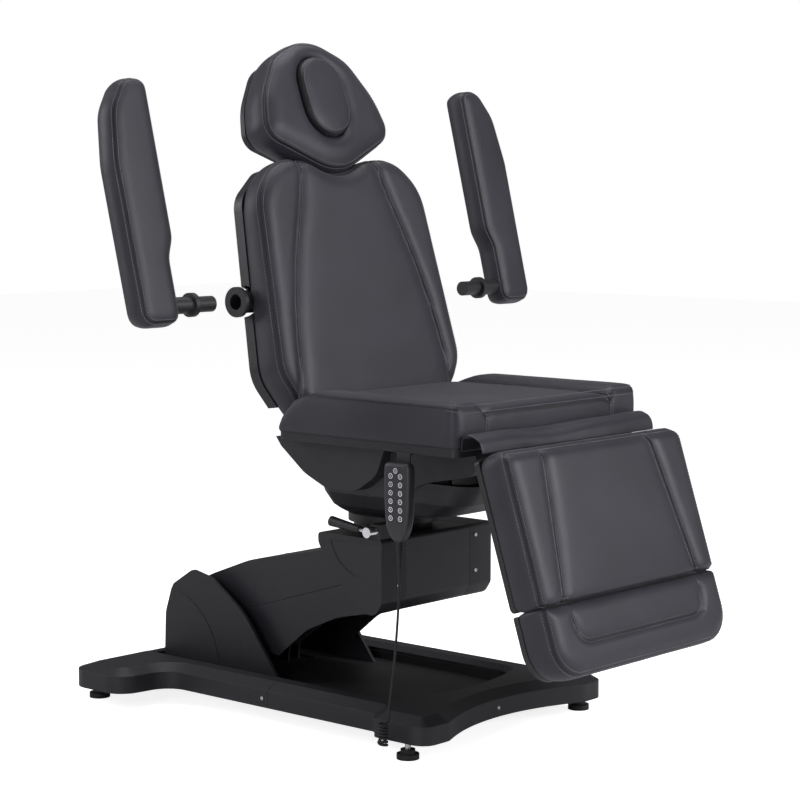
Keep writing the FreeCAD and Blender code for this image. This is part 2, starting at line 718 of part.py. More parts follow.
def base_covers():
    shell = base_body(0).cut(base_body(WALL))
    well = well_outline()
    rim = plan_prism(inset(well, -WALL), TRAY_FLOOR, BASE_TOP)
    shell = shell.fuse(rim.common(base_body(0)))
    shell = shell.cut(plan_prism(well, -OVERRUN, BASE_TOP + OVERRUN))
    for spot in seam_screw_spots():
        shell = shell.cut(rod_x(BASE_SCREW_SHANK, spot.x - OVERRUN, spot.x + OVERRUN, spot.y, spot.z))
    front_spot = front_screw_spot()
    shell = shell.cut(rod_y(BASE_SCREW_SHANK, front_spot.x, front_spot.y - OVERRUN, front_spot.y + OVERRUN / 2, front_spot.z))
    rear = shell.cut(block(-REAR_HALF - OVERRUN, REAR_HALF + OVERRUN, FRONT_Y - OVERRUN, COVER_SEAM_Y + SEAM / 2,
                           -OVERRUN, BASE_TOP + OVERRUN))
    front = shell.cut(block(-REAR_HALF - OVERRUN, REAR_HALF + OVERRUN, COVER_SEAM_Y - SEAM / 2, REAR_Y + OVERRUN,
                            -OVERRUN, BASE_TOP + OVERRUN))
    return rear, front


def floor_tray():
    outline = inset(well_outline(), SOFT_GAP)
    pan = plan_prism(outline, TRAY_FLOOR, BASE_TOP - TRAY_RIM_DROP)
    pan = pan.cut(plan_prism(inset(outline, WALL), TRAY_FLOOR + WALL, BASE_TOP + OVERRUN))
    return pan.cut(block(-TRAY_HOLE_HALF, TRAY_HOLE_HALF, TRAY_HOLE_FRONT_Y, TRAY_HOLE_REAR_Y, 0, BASE_TOP))


def foot_spots():
    return [
        vec(x, y, 0) for x, y in (
            (-FOOT_FRONT_X, FOOT_FRONT_Y), (FOOT_FRONT_X, FOOT_FRONT_Y),
            (-FOOT_REAR_X, FOOT_REAR_Y), (FOOT_REAR_X, FOOT_REAR_Y),
        )
    ]


def levelling_pads():
    pads = []
    for spot in foot_spots():
        disc = rod_z(PAD_RADIUS, spot.x, spot.y, 0, PAD_HEIGHT)
        neck = rod_z(PAD_NECK_RADIUS, spot.x, spot.y, PAD_HEIGHT, PAD_NECK_TOP)
        pads.append(disc.fuse(neck))
    return Part.Compound(pads)


def levelling_studs():
    return Part.Compound([rod_z(STUD_RADIUS, spot.x, spot.y, PAD_NECK_TOP, STUD_TOP) for spot in foot_spots()])


def pivot_lugs(y, z, root_z):
    """Pair of steel lugs that hold the arm shaft at (y, z) and the link shaft below it."""
    low = z - LINK_DROP - LUG_HALF_Y
    root = block(LUG_IN, LUG_IN + LUG_THICK, y - LUG_HALF_Y, y + LUG_HALF_Y, min(root_z, z), max(root_z, z))
    neck = block(LUG_IN, LUG_IN + LUG_THICK, y - LUG_HALF_Y, y + LUG_HALF_Y, z - LINK_DROP, z)
    ends = [rod_x(LUG_HALF_Y, LUG_IN, LUG_IN + LUG_THICK, y, z - LINK_DROP)]
    if root_z < low:
        ends = [rod_x(LUG_HALF_Y, LUG_IN, LUG_IN + LUG_THICK, y, z)]
    lug = fused([root, neck] + ends)
    lug = lug.cut(rod_x(PIVOT_SHAFT_RADIUS, -OVERRUN, OVERRUN * 2, y, z))
    lug = lug.cut(rod_x(LINK_SHAFT_RADIUS, -OVERRUN, OVERRUN * 2, y, z - LINK_DROP))
    return lug


def arm_plate_in():
    return ARM_HALF - WALL - SOFT_GAP - ARM_PLATE_THICK


def pivot_shafts(y, z):
    reach = arm_plate_in() + ARM_PLATE_THICK
    link_reach = LUG_IN + LUG_THICK
    return [
        rod_x(PIVOT_SHAFT_RADIUS, -reach, reach, y, z),
        rod_x(LINK_SHAFT_RADIUS, -link_reach, link_reach, y, z - LINK_DROP),
    ]


def base_chassis():
    rail = block(CHASSIS_RAIL_IN, CHASSIS_RAIL_OUT, CHASSIS_FRONT_Y, CHASSIS_REAR_Y, CHASSIS_BOTTOM,
                 BASE_TOP - WALL - SOFT_GAP)
    rail = rail.cut(block(0, FRONT_HALF, FRONT_Y, WELL_FRONT_Y, CHASSIS_LOW_TOP, BASE_TOP))
    rail = rail.cut(block(0, FRONT_HALF, REAR_INNER_Y, REAR_Y, CHASSIS_LOW_TOP, BASE_TOP))
    plate_rear = CHASSIS_FRONT_Y + CHASSIS_FRONT_DEPTH
    foot = plan_prism([
        (x, y, FOOT_PLATE_HALF_X * 0.95) for x, y in (
            (FOOT_FRONT_X - FOOT_PLATE_HALF_X, FOOT_FRONT_Y - FOOT_PLATE_HALF_Y),
            (FOOT_FRONT_X + FOOT_PLATE_HALF_X, FOOT_FRONT_Y - FOOT_PLATE_HALF_Y),
            (FOOT_FRONT_X + FOOT_PLATE_HALF_X, plate_rear), (FOOT_FRONT_X - FOOT_PLATE_HALF_X, plate_rear),
        )
    ], CHASSIS_BOTTOM, CHASSIS_LOW_TOP)
    front = block(-FOOT_FRONT_X, FOOT_FRONT_X, CHASSIS_FRONT_Y, CHASSIS_FRONT_Y + CHASSIS_FRONT_DEPTH,
                  CHASSIS_BOTTOM, TRAY_FLOOR - SOFT_GAP)
    rear = block(-CHASSIS_REAR_HALF, CHASSIS_REAR_HALF, CHASSIS_REAR_Y, CHASSIS_REAR_Y + CHASSIS_REAR_DEPTH,
                 CHASSIS_BOTTOM, TRAY_FLOOR - SOFT_GAP)
    rear_end = block(CHASSIS_RAIL_IN, CHASSIS_REAR_HALF, CHASSIS_REAR_Y, CHASSIS_REAR_Y + CHASSIS_REAR_DEPTH,
                     CHASSIS_BOTTOM, CHASSIS_LOW_TOP)
    bridge = block(-CHASSIS_RAIL_IN, CHASSIS_RAIL_IN, BRIDGE_FRONT_Y, BRIDGE_REAR_Y, CHASSIS_BOTTOM, TRAY_FLOOR)
    lugs = both_sides_list(pivot_lugs(PIVOT_Y, PIVOT_Z, (CHASSIS_BOTTOM + TRAY_FLOOR) / 2))
    frame = fused([rail, mirrored(rail), foot, mirrored(foot), front, rear, rear_end, mirrored(rear_end), bridge]
                  + lugs + actuator_ears())
    for spot in foot_spots():
        frame = frame.cut(rod_z(STUD_RADIUS + RUNNING_GAP, spot.x, spot.y, -OVERRUN, STUD_TOP + WALL))
    return frame


def both_sides_list(shape):
    return [shape, mirrored(shape)]


def actuator_ears():
    """Two ears on the bridge that carry the foot of the lift actuator."""
    ears = []
    for side in (-1, 1):
        near = ACTUATOR_X + side * (ACTUATOR_EYE + RUNNING_GAP) + (side - 1) / 2 * ACTUATOR_EAR
        ear = bar(near, near + ACTUATOR_EAR, (ACTUATOR_Y, ACTUATOR_Z),
                  (ACTUATOR_Y + ACTUATOR_EAR, TRAY_FLOOR - ACTUATOR_EYE / 2), ACTUATOR_EYE)
        ear = ear.cut(block(near - WALL, near + ACTUATOR_EAR + WALL, ACTUATOR_Y - OVERRUN, ACTUATOR_Y + OVERRUN,
                            -OVERRUN, CHASSIS_BOTTOM))
        ears.append(ear.cut(rod_x(ACTUATOR_PIN, near - WALL, near + ACTUATOR_EAR + WALL, ACTUATOR_Y, ACTUATOR_Z)))
    return ears


def seam_screw_spots():
    y = COVER_SEAM_Y + BASE_SCREW_SETBACK
    return [vec(side * RAIL_HALF, y, BASE_SCREW_Z) for side in (-1, 1)]


def front_screw_spot():
    rise = ARCH_RADIUS / math.cos(arch_slope()) - ARCH_RADIUS
    return vec(0, ARCH_Y - rise, BASE_SCREW_Z)


def arch_slope():
    return math.atan2(ARCH_Y - FRONT_Y, ARCH_HALF)


def base_screws():
    screws = []
    for spot in seam_screw_spots():
        out = vec(math.copysign(1, spot.x), 0, 0)
        screws.append(screw_head(BASE_SCREW_RADIUS, BASE_SCREW_HEAD, BASE_SCREW_SHANK, BASE_SCREW_LENGTH, spot, out))
    screws.append(screw_head(BASE_SCREW_RADIUS, BASE_SCREW_HEAD, BASE_SCREW_SHANK, BASE_SCREW_LENGTH,
                             front_screw_spot(), vec(0, -1, 0)))
    return Part.Compound(screws)


def control_box():
    rear = TOWER_FRONT_Y + TOWER_LENGTH - TOWER_REAR_WALL - WALL * 2
    low = TRAY_FLOOR + WALL
    return block(-CONTROL_WIDTH / 2, CONTROL_WIDTH / 2, rear - CONTROL_LENGTH, rear, low, low + CONTROL_HEIGHT)


def tower_base():
    return TRAY_FLOOR + WALL


def tower_shroud():
    """Two cheeks and a rear wall that stand in the well, open at the top and the front."""
    outline = scaled(TOWER_SHARES, (TOWER_FRONT_Y, tower_base()), (TOWER_LENGTH, TOWER_HEIGHT))
    body = side_prism(outline, -TOWER_HALF, TOWER_HALF)
    inner = TOWER_HALF - TOWER_WALL
    slot = side_prism(scaled(TOWER_SHARES, (TOWER_FRONT_Y - TOWER_REAR_WALL, tower_base()), (TOWER_LENGTH, TOWER_HEIGHT)),
                      -inner, inner)
    slot = slot.fuse(block(-inner, inner, TOWER_FRONT_Y - OVERRUN, TOWER_FRONT_Y + TOWER_LENGTH * TOWER_SHARES[2][0]
                           - TOWER_REAR_WALL, tower_base() - OVERRUN, tower_base() + TOWER_HEIGHT + OVERRUN))
    body = body.cut(slot)
    centre = (TOWER_FRONT_Y + TOWER_LENGTH, tower_base() - CHEEK_STEP_DEPTH)
    step = crescent_cut(CHEEK_STEP_DEPTH / 2, CHEEK_STEP_OUTER, CHEEK_STEP_INNER, -TOWER_HALF, centre)
    return body.cut(step).cut(mirrored(step))


# Lift arm pieces

def arm_hub(y, z):
    low = LUG_IN + LUG_THICK + HUB_GAP
    return rod_x(HUB_RADIUS, low, arm_plate_in(), y, z)


def lift_arm():
    rear = (PIVOT_Y, PIVOT_Z)
    front = (HEAD_PIVOT_Y, HEAD_PIVOT_Z)
    plate = bar(arm_plate_in(), arm_plate_in() + ARM_PLATE_THICK, rear, front, ARM_PLATE_RADIUS)
    half = fused([plate, arm_hub(*rear), arm_hub(*front)])
    brace_y = PIVOT_Y + (HEAD_PIVOT_Y - PIVOT_Y) * ARM_BRACE_SHARE
    brace_z = PIVOT_Z + (HEAD_PIVOT_Z - PIVOT_Z) * ARM_BRACE_SHARE
    brace = rod_x(ARM_BRACE_RADIUS, -arm_plate_in(), arm_plate_in(), brace_y, brace_z)
    pin = rod_x(ARM_PIN_RADIUS, arm_plate_in() - ARM_PIN_LENGTH / 4, arm_plate_in(), ARM_PIN_Y, ARM_PIN_Z)
    tab = bar(arm_plate_in(), arm_plate_in() + ARM_PLATE_THICK, (ARM_PIN_Y, ARM_PIN_Z),
              (ARM_PIN_Y, ARM_PIN_Z + LINK_DROP / 2), ARM_PIN_RADIUS * 2)
    arm = fused([half, mirrored(half), brace, pin, tab])
    for spot in (rear, front):
        arm = arm.cut(rod_x(PIVOT_SHAFT_RADIUS + RUNNING_GAP, -OVERRUN * 2, OVERRUN * 2, *spot))
    return arm


def arm_outline():
    return scaled(ARM_COVER_SHARES, (ARM_COVER_FRONT_Y, ARM_COVER_BOTTOM), (ARM_COVER_LENGTH, ARM_COVER_HEIGHT))


def arm_seam_prism(above):
    """Everything above, or below, the sloping seam of the arm covers."""
    rear_y = ARM_COVER_FRONT_Y + ARM_COVER_LENGTH + OVERRUN
    front_y = ARM_COVER_FRONT_Y - OVERRUN
    slope = (ARM_SEAM_FRONT_Z - ARM_SEAM_REAR_Z) / ARM_COVER_LENGTH
    shift = SEAM / 2 if above else -SEAM / 2
    far_z = BASE_TOP + 2 * ARM_COVER_HEIGHT if above else -OVERRUN
    points = [
        (rear_y, ARM_SEAM_REAR_Z - slope * OVERRUN + shift, 0),
        (front_y, ARM_SEAM_FRONT_Z + slope * OVERRUN + shift, 0), (front_y, far_z, 0), (rear_y, far_z, 0),
    ]
    return side_prism(points, -ARM_HALF - OVERRUN, ARM_HALF + OVERRUN)


def arm_covers():
    outline = arm_outline()
    shell = side_prism(outline, -ARM_HALF, ARM_HALF)
    shell = shell.cut(side_prism(inset(outline, WALL), WALL - ARM_HALF, ARM_HALF - WALL))
    inner = ARM_HALF - WALL
    opening_front = ARM_COVER_FRONT_Y + ARM_COVER_LENGTH * ARM_FLOOR_REAR_SHARE
    seam_at_opening = ARM_SEAM_FRONT_Z - (ARM_SEAM_FRONT_Z - ARM_SEAM_REAR_Z) * ARM_FLOOR_REAR_SHARE
    shell = shell.cut(side_prism([
        (opening_front, ARM_COVER_BOTTOM - OVERRUN, 0), (opening_front, seam_at_opening, 0),
        (PIVOT_Y, PIVOT_Z, 0), (ARM_COVER_FRONT_Y + ARM_COVER_LENGTH + OVERRUN, PIVOT_Z, 0),
        (ARM_COVER_FRONT_Y + ARM_COVER_LENGTH + OVERRUN, ARM_COVER_BOTTOM - OVERRUN, 0),
    ], -inner, inner))
    slot = block(-ARM_ROOF_SLOT_HALF, ARM_ROOF_SLOT_HALF, ARM_COVER_FRONT_Y - OVERRUN, ARM_ROOF_SLOT_REAR,
                 ARM_ROOF_SLOT_Z, HEAD_BOTTOM + HEAD_HEIGHT + OVERRUN)
    shell = shell.cut(slot)
    return shell.common(arm_seam_prism(True)), shell.common(arm_seam_prism(False))


def parallel_link():
    rear = (PIVOT_Y, PIVOT_Z - LINK_DROP)
    front = (HEAD_PIVOT_Y, HEAD_PIVOT_Z - LINK_DROP)
    link = bar(-LINK_HALF_X, LINK_HALF_X, rear, front, LINK_HALF_H)
    for spot in (rear, front):
        link = link.fuse(rod_x(LINK_EYE, -LUG_IN + SEAM, LUG_IN - SEAM, *spot))
    link = link.removeSplitter()
    link = link.cut(rod_x(LINK_SHAFT_RADIUS + RUNNING_GAP, -OVERRUN, OVERRUN, *rear))
    return link.cut(rod_x(LINK_SHAFT_RADIUS + SEAM, -OVERRUN, OVERRUN, *front))


def actuator_angle():
    return math.atan2(ARM_PIN_Z - ACTUATOR_Z, ACTUATOR_Y - ARM_PIN_Y)


def along_actuator(radius, start, end):
    """Cylinder on the actuator's line, between two distances from its foot pin."""
    direction = vec(0, -math.cos(actuator_angle()), math.sin(actuator_angle()))
    place = vec(ACTUATOR_X, ACTUATOR_Y, ACTUATOR_Z) + direction * start
    return Part.makeCylinder(radius, end - start, place, direction)


def lift_motor():
    eye = rod_x(ACTUATOR_EYE, ACTUATOR_X - ACTUATOR_EYE, ACTUATOR_X + ACTUATOR_EYE, ACTUATOR_Y, ACTUATOR_Z)
    eye = eye.cut(rod_x(ACTUATOR_PIN + RUNNING_GAP, 0, OVERRUN * 2, ACTUATOR_Y, ACTUATOR_Z))
    tube = along_actuator(ACTUATOR_RADIUS, ACTUATOR_EYE / 2, ACTUATOR_LENGTH)
    clear = ACTUATOR_EYE + WALL
    tube = tube.cut(rod_x(clear, 0, ACTUATOR_X - ACTUATOR_EYE, ACTUATOR_Y, ACTUATOR_Z))
    tube = tube.cut(rod_x(clear, ACTUATOR_X + ACTUATOR_EYE, 2 * ACTUATOR_X, ACTUATOR_Y, ACTUATOR_Z))
    body = eye.fuse(tube).removeSplitter()
    body = body.cut(rod_x(ACTUATOR_PIN + RUNNING_GAP, 0, OVERRUN * 2, ACTUATOR_Y, ACTUATOR_Z))
    return body.cut(along_actuator(ACTUATOR_ROD_RADIUS + RUNNING_GAP, ACTUATOR_EYE * 2, ACTUATOR_LENGTH + OVERRUN))


def actuator_pin():
    reach = ACTUATOR_EYE + RUNNING_GAP + ACTUATOR_EAR
    return rod_x(ACTUATOR_PIN, ACTUATOR_X - reach, ACTUATOR_X + reach, ACTUATOR_Y, ACTUATOR_Z)


def lift_rod():
    reach = math.hypot(ACTUATOR_Y - ARM_PIN_Y, ARM_PIN_Z - ACTUATOR_Z)
    end = reach - ARM_PIN_RADIUS - ROD_END_GAP
    return along_actuator(ACTUATOR_ROD_RADIUS, ACTUATOR_LENGTH - ACTUATOR_ROD_HIDDEN, end)


# Head housing pieces

def head_outline():
    return scaled(HEAD_SHARES, (HEAD_FRONT_Y, HEAD_BOTTOM), (HEAD_LENGTH, HEAD_HEIGHT))


def head_top():
    return HEAD_BOTTOM + HEAD_HEIGHT


def arm_mouth():
    """Room behind the front wall of the head for the end of the arm."""
    half = ARM_HALF + HUB_GAP
    return block(-half, half, HEAD_FRONT_Y + HEAD_LIP, HEAD_FRONT_Y + HEAD_LENGTH + OVERRUN,
                 HEAD_BOTTOM - OVERRUN, head_top() - WALL)


def head_cap():
    """Right-hand end cap, on the -X side."""
    outline = head_outline()
    cap = side_prism(outline, -HEAD_HALF, -HEAD_SEAM_X - SEAM / 2)
    cap = cap.cut(side_prism(inset(outline, WALL), WALL - HEAD_HALF, -HEAD_SEAM_X + OVERRUN))
    cap = cap.cut(arm_mouth())
    centre = (HEAD_FRONT_Y + CAP_EMBOSS_RADIUS * 0.55, head_top() + CAP_EMBOSS_RADIUS * 0.10)
    dish = rod_x(CAP_EMBOSS_RADIUS, -HEAD_HALF - OVERRUN, CAP_EMBOSS_DEPTH / 2 - HEAD_HALF, *centre)
    dish = dish.common(side_prism(inset(outline, WALL * 4), -HEAD_HALF - OVERRUN, 0))
    cap = cap.cut(dish)
    for z in (HEAD_SCREW_UPPER_Z, HEAD_SCREW_LOWER_Z):
        cap = cap.cut(rod_y(HEAD_SCREW_SHANK, -HEAD_SCREW_X, HEAD_FRONT_Y - OVERRUN, HEAD_FRONT_Y + OVERRUN / 2, z))
    return cap


def head_cover():
    outline = head_outline()
    cover = side_prism(outline, SEAM / 2 - HEAD_SEAM_X, HEAD_SEAM_X - SEAM / 2)
    cover = cover.cut(side_prism(inset(outline, WALL), -HEAD_HALF, HEAD_HALF))
    cover = cover.cut(arm_mouth())
    return cover.cut(rod_z(SPINDLE_RADIUS + WALL, 0, 0, HEAD_BOTTOM, head_top() + OVERRUN))


def head_frame():
    top = head_top() - WALL - SEAM
    front = HEAD_FRONT_Y + WALL + SEAM
    rear = HEAD_FRONT_Y + HEAD_LENGTH - WALL * 3
    plate = block(-HEAD_PLATE_HALF, HEAD_PLATE_HALF, front + HEAD_PLATE_THICK, rear, top - HEAD_PLATE_THICK, top)
    flange_top = top - WALL
    flange = block(HEAD_FLANGE_IN, HEAD_FLANGE_OUT, front, front + HEAD_PLATE_THICK, top - HEAD_FLANGE_DROP, flange_top)
    joint = block(HEAD_FLANGE_IN, HEAD_FLANGE_OUT, front, front + 2 * HEAD_PLATE_THICK, top - HEAD_PLATE_THICK, flange_top)
    flange = flange.fuse(joint)
    for z in (HEAD_SCREW_UPPER_Z, HEAD_SCREW_LOWER_Z):
        flange = flange.cut(rod_y(HEAD_SCREW_SHANK, HEAD_SCREW_X, front - OVERRUN, front + OVERRUN, z))
    lugs = both_sides_list(pivot_lugs(HEAD_PIVOT_Y, HEAD_PIVOT_Z, top - HEAD_PLATE_THICK / 2))
    frame = fused([plate, flange, mirrored(flange)] + lugs)
    return frame.cut(rod_z(SPINDLE_RADIUS + WALL, 0, 0, top - OVERRUN / 2, top + OVERRUN))


def head_screws():
    screws = []
    for side in (-1, 1):
        for z in (HEAD_SCREW_UPPER_Z, HEAD_SCREW_LOWER_Z):
            place = vec(side * HEAD_SCREW_X, HEAD_FRONT_Y, z)
            screws.append(screw_head(HEAD_SCREW_RADIUS, HEAD_SCREW_HEAD, HEAD_SCREW_SHANK, HEAD_SCREW_LENGTH,
                                     place, vec(0, -1, 0)))
    return Part.Compound(screws)


# Turntable pieces

def turn_top():
    return head_top() + TURN_LOWER_THICK + TURN_GAP + TURN_UPPER_THICK


def turntable_base():
    """Fixed ring on the head with the clamp block of the lock."""
    low = head_top()
    ring = rod_z(TURN_LOWER_RADIUS, 0, 0, low, low + TURN_LOWER_THICK)
    arm_end = LOCK_X + LOCK_BOSS_LENGTH
    arm = plan_prism([
        (arm_end, LOCK_Y - LOCK_BLOCK_HALF, 0), (0, LOCK_BLOCK_HALF - TURN_LOWER_RADIUS, 0),
        (LOCK_BLOCK_HALF - TURN_LOWER_RADIUS, 0, 0), (arm_end, LOCK_Y + LOCK_BLOCK_HALF, 0),
    ], low, low + TURN_LOWER_THICK)
    tower = block(arm_end, arm_end + LOCK_BLOCK_LENGTH, LOCK_Y - LOCK_BLOCK_HALF, LOCK_Y + LOCK_BLOCK_HALF,
                  low, LOCK_Z + LOCK_BLOCK_HALF)
    body = fused([ring, arm, tower])
    body = body.cut(rod_x(LOCK_STUD_RADIUS + RUNNING_GAP, arm_end - OVERRUN, arm_end + LOCK_BLOCK_LENGTH * 0.75,
                          LOCK_Y, LOCK_Z))
    return body.cut(rod_z(SPINDLE_RADIUS + RUNNING_GAP, 0, 0, low - OVERRUN, low + OVERRUN))


def lock_stem():
    """Chrome stud, boss and stem of the swivel lock."""
    arm_end = LOCK_X + LOCK_BOSS_LENGTH
    stud = rod_x(LOCK_STUD_RADIUS, arm_end - SEAM * 2, arm_end + LOCK_BLOCK_LENGTH * 0.7, LOCK_Y, LOCK_Z)
    boss = rod_x(LOCK_BOSS_RADIUS, LOCK_X - LOCK_BOSS_LENGTH / 2, arm_end - SEAM, LOCK_Y, LOCK_Z)
    stem = lock_taper(LOCK_STEM_RADIUS, LOCK_STEM_RADIUS, 0, LOCK_BOSS_RADIUS + LOCK_STEM_LENGTH)
    return fused([stud, boss, stem])


def lock_taper(radius_a, radius_b, start, end):
    """Cone on the lever's line, between two distances from the stud."""
    rise = math.radians(LOCK_RISE)
    direction = vec(0, math.cos(rise), math.sin(rise))
    place = vec(LOCK_X, LOCK_Y, LOCK_Z) + direction * start
    if radius_a == radius_b:
        return Part.makeCylinder(radius_a, end - start, place, direction)
    return Part.makeCone(radius_a, radius_b, end - start, place, direction)


def lock_grip():
    start = LOCK_BOSS_RADIUS + LOCK_STEM_LENGTH / 2
    grip = lock_taper(LOCK_GRIP_SMALL, LOCK_GRIP_LARGE, start, start + LOCK_GRIP_LENGTH)
    return grip.cut(lock_taper(LOCK_STEM_RADIUS, LOCK_STEM_RADIUS, 0, LOCK_BOSS_RADIUS + LOCK_STEM_LENGTH))


def turntable_top():
    low = head_top() + TURN_LOWER_THICK + TURN_GAP
    flange = rod_z(TURN_UPPER_RADIUS, 0, 0, low, low + TURN_UPPER_THICK)
    spindle = rod_z(SPINDLE_RADIUS, 0, 0, head_top() - SPINDLE_DROP, low)
    return fused([flange, spindle])


def cradle_low():
    return turn_top() + WALL


def tilt_cradle():
    low = cradle_low()
    foot = plan_prism(mirrored_outline([
        (CRADLE_HALF, -CRADLE_FRONT, CRADLE_CORNER), (CRADLE_HALF, CRADLE_REAR, CRADLE_CORNER),
    ]), low, low + CRADLE_PLATE_THICK)
    side = side_prism([
        (-CRADLE_FRONT, low, 0), (CRADLE_REAR - CRADLE_CORNER / 2, low, 0),
        (TILT_Y + CRADLE_EYE, TILT_Z, 0), (TILT_Y - CRADLE_EYE, TILT_Z, 0),
    ], CRADLE_IN, CRADLE_IN + CRADLE_PLATE_THICK)
    side = side.fuse(rod_x(CRADLE_EYE, CRADLE_IN, CRADLE_IN + CRADLE_PLATE_THICK, TILT_Y, TILT_Z))
    body = fused([foot, side, mirrored(side)])
    body = body.cut(rod_x(TILT_SHAFT_RADIUS, -CRADLE_HALF * 2, CRADLE_HALF * 2, TILT_Y, TILT_Z))
    for spot in turn_bolt_spots():
        body = body.cut(rod_z(TURN_BOLT_RADIUS / 2, spot.x, spot.y, low - OVERRUN, low + OVERRUN))
    return body


def turn_bolt_spots():
    turn = 2 * math.pi / TURN_BOLT_COUNT
    return [
        vec(TURN_BOLT_CIRCLE * math.cos(turn * index), TURN_BOLT_CIRCLE * math.sin(turn * index), 0)
        for index in range(TURN_BOLT_COUNT)
    ]


def turntable_bolts():
    bolts = []
    seat = cradle_low() + CRADLE_PLATE_THICK
    for spot in turn_bolt_spots():
        head = rod_z(TURN_BOLT_RADIUS, spot.x, spot.y, seat, seat + TURN_BOLT_HEIGHT)
        bolts.append(head.fuse(rod_z(TURN_BOLT_RADIUS / 2, spot.x, spot.y, turn_top(), seat)))
    return Part.Compound(bolts)


def tilt_shaft():
    reach = FRAME_RAIL_IN + FRAME_RAIL_THICK + SEAM
    return rod_x(TILT_SHAFT_RADIUS, -reach, reach, TILT_Y, TILT_Z)


def bowl_body(distance):
    wires = []
    low = turn_top() + distance
    high = BOWL_TOP + (distance and OVERRUN)
    for height, width, front, rear in BOWL_LEVELS_SHARES:
        level = low + (high - low) * height
        half = BOWL_HALF * width
        outline = [
            (half, BOWL_CENTRE_Y - (BOWL_FRONT + BOWL_CENTRE_Y) * front, BOWL_CORNER),
            (half, BOWL_CENTRE_Y + (BOWL_REAR - BOWL_CENTRE_Y) * rear, BOWL_CORNER),
        ]
        outline = inset(mirrored_outline(outline), distance) if distance else mirrored_outline(outline)
        wires.append(rounded_wire(outline, lambda a, b, level=level: vec(a, b, level)))
    return loft(wires)


def tilt_bowl():
    shell = bowl_body(0).cut(bowl_body(WALL))
    for spot in turn_bolt_spots():
        shell = shell.cut(rod_z(TURN_BOLT_RADIUS / 2, spot.x, spot.y, turn_top() - OVERRUN, turn_top() + OVERRUN))
    return shell


# Seat pieces

def seat_side_outline():
    top = SEAT_CROWN + OVERRUN / 2
    return [
        (SEAT_FRONT_Y, SEAT_BOTTOM, 0), (SEAT_REAR_Y, SEAT_BOTTOM, 0),
        (SEAT_REAR_Y, SEAT_BOTTOM + SEAT_FRONT_ROUND / 2, 0),
        (SEAT_REAR_Y - SEAT_REAR_ROUND * 0.18, SEAT_BOTTOM + SEAT_REAR_ROUND * 0.42, SEAT_REAR_ROUND * 0.5),
        (SEAT_REAR_Y - SEAT_REAR_ROUND * 0.62, SEAT_BOTTOM + SEAT_REAR_ROUND * 0.88, SEAT_REAR_ROUND * 0.5),
        (SEAT_REAR_Y - SEAT_REAR_ROUND * 1.25, SEAT_CROWN, SEAT_REAR_ROUND), (SEAT_REAR_Y - SEAT_REAR_ROUND * 1.6, top, 0),
        (SEAT_FRONT_Y, top, 0),
    ]


def seat_cushion():
    heights = (SEAT_BOTTOM + SOFT_GAP, SEAT_EDGE_TOP, SEAT_CROWN, SEAT_SEAM_TOP, SEAT_CENTRE_TOP)
    drop = (0, SEAT_EDGE_TOP - SEAT_FRONT_ROUND, SEAT_CROWN - SEAT_FRONT_ROUND, SEAT_SEAM_TOP - SEAT_FRONT_ROUND,
            SEAT_CENTRE_TOP - SEAT_FRONT_ROUND)
    nose = (heights[0],) + drop[1:]
    stations = [
        (SEAT_FRONT_Y, SEAT_DRAW_IN, nose), (SEAT_FRONT_Y + SEAT_FRONT_ROUND * 0.35, SEAT_DRAW_IN * 0.3,
                                             tuple((a + b) / 2 for a, b in zip(nose, heights))),
        (SEAT_FRONT_Y + SEAT_FRONT_ROUND, 0, heights), (SEAT_REAR_Y, 0, heights),
    ]
    wires = []
    for y, narrower, level in stations:
        wires.append(pad_section(SEAT_HALF - narrower, SEAT_DRAW_IN, SEAT_SEAM_X, level,
                                 lambda a, b, y=y: vec(a, y, b)))
    body = loft(wires)
    return body.common(side_prism(seat_side_outline(), -SEAT_HALF - OVERRUN, SEAT_HALF + OVERRUN))


def seat_board():
    half = SEAT_HALF - SEAT_DRAW_IN
    outline = mirrored_outline([(half, SEAT_FRONT_Y + WALL, BOARD_ROUND), (half, BOARD_REAR_Y, BOARD_ROUND)])
    return plan_prism(outline, BOARD_BOTTOM, SEAT_BOTTOM)


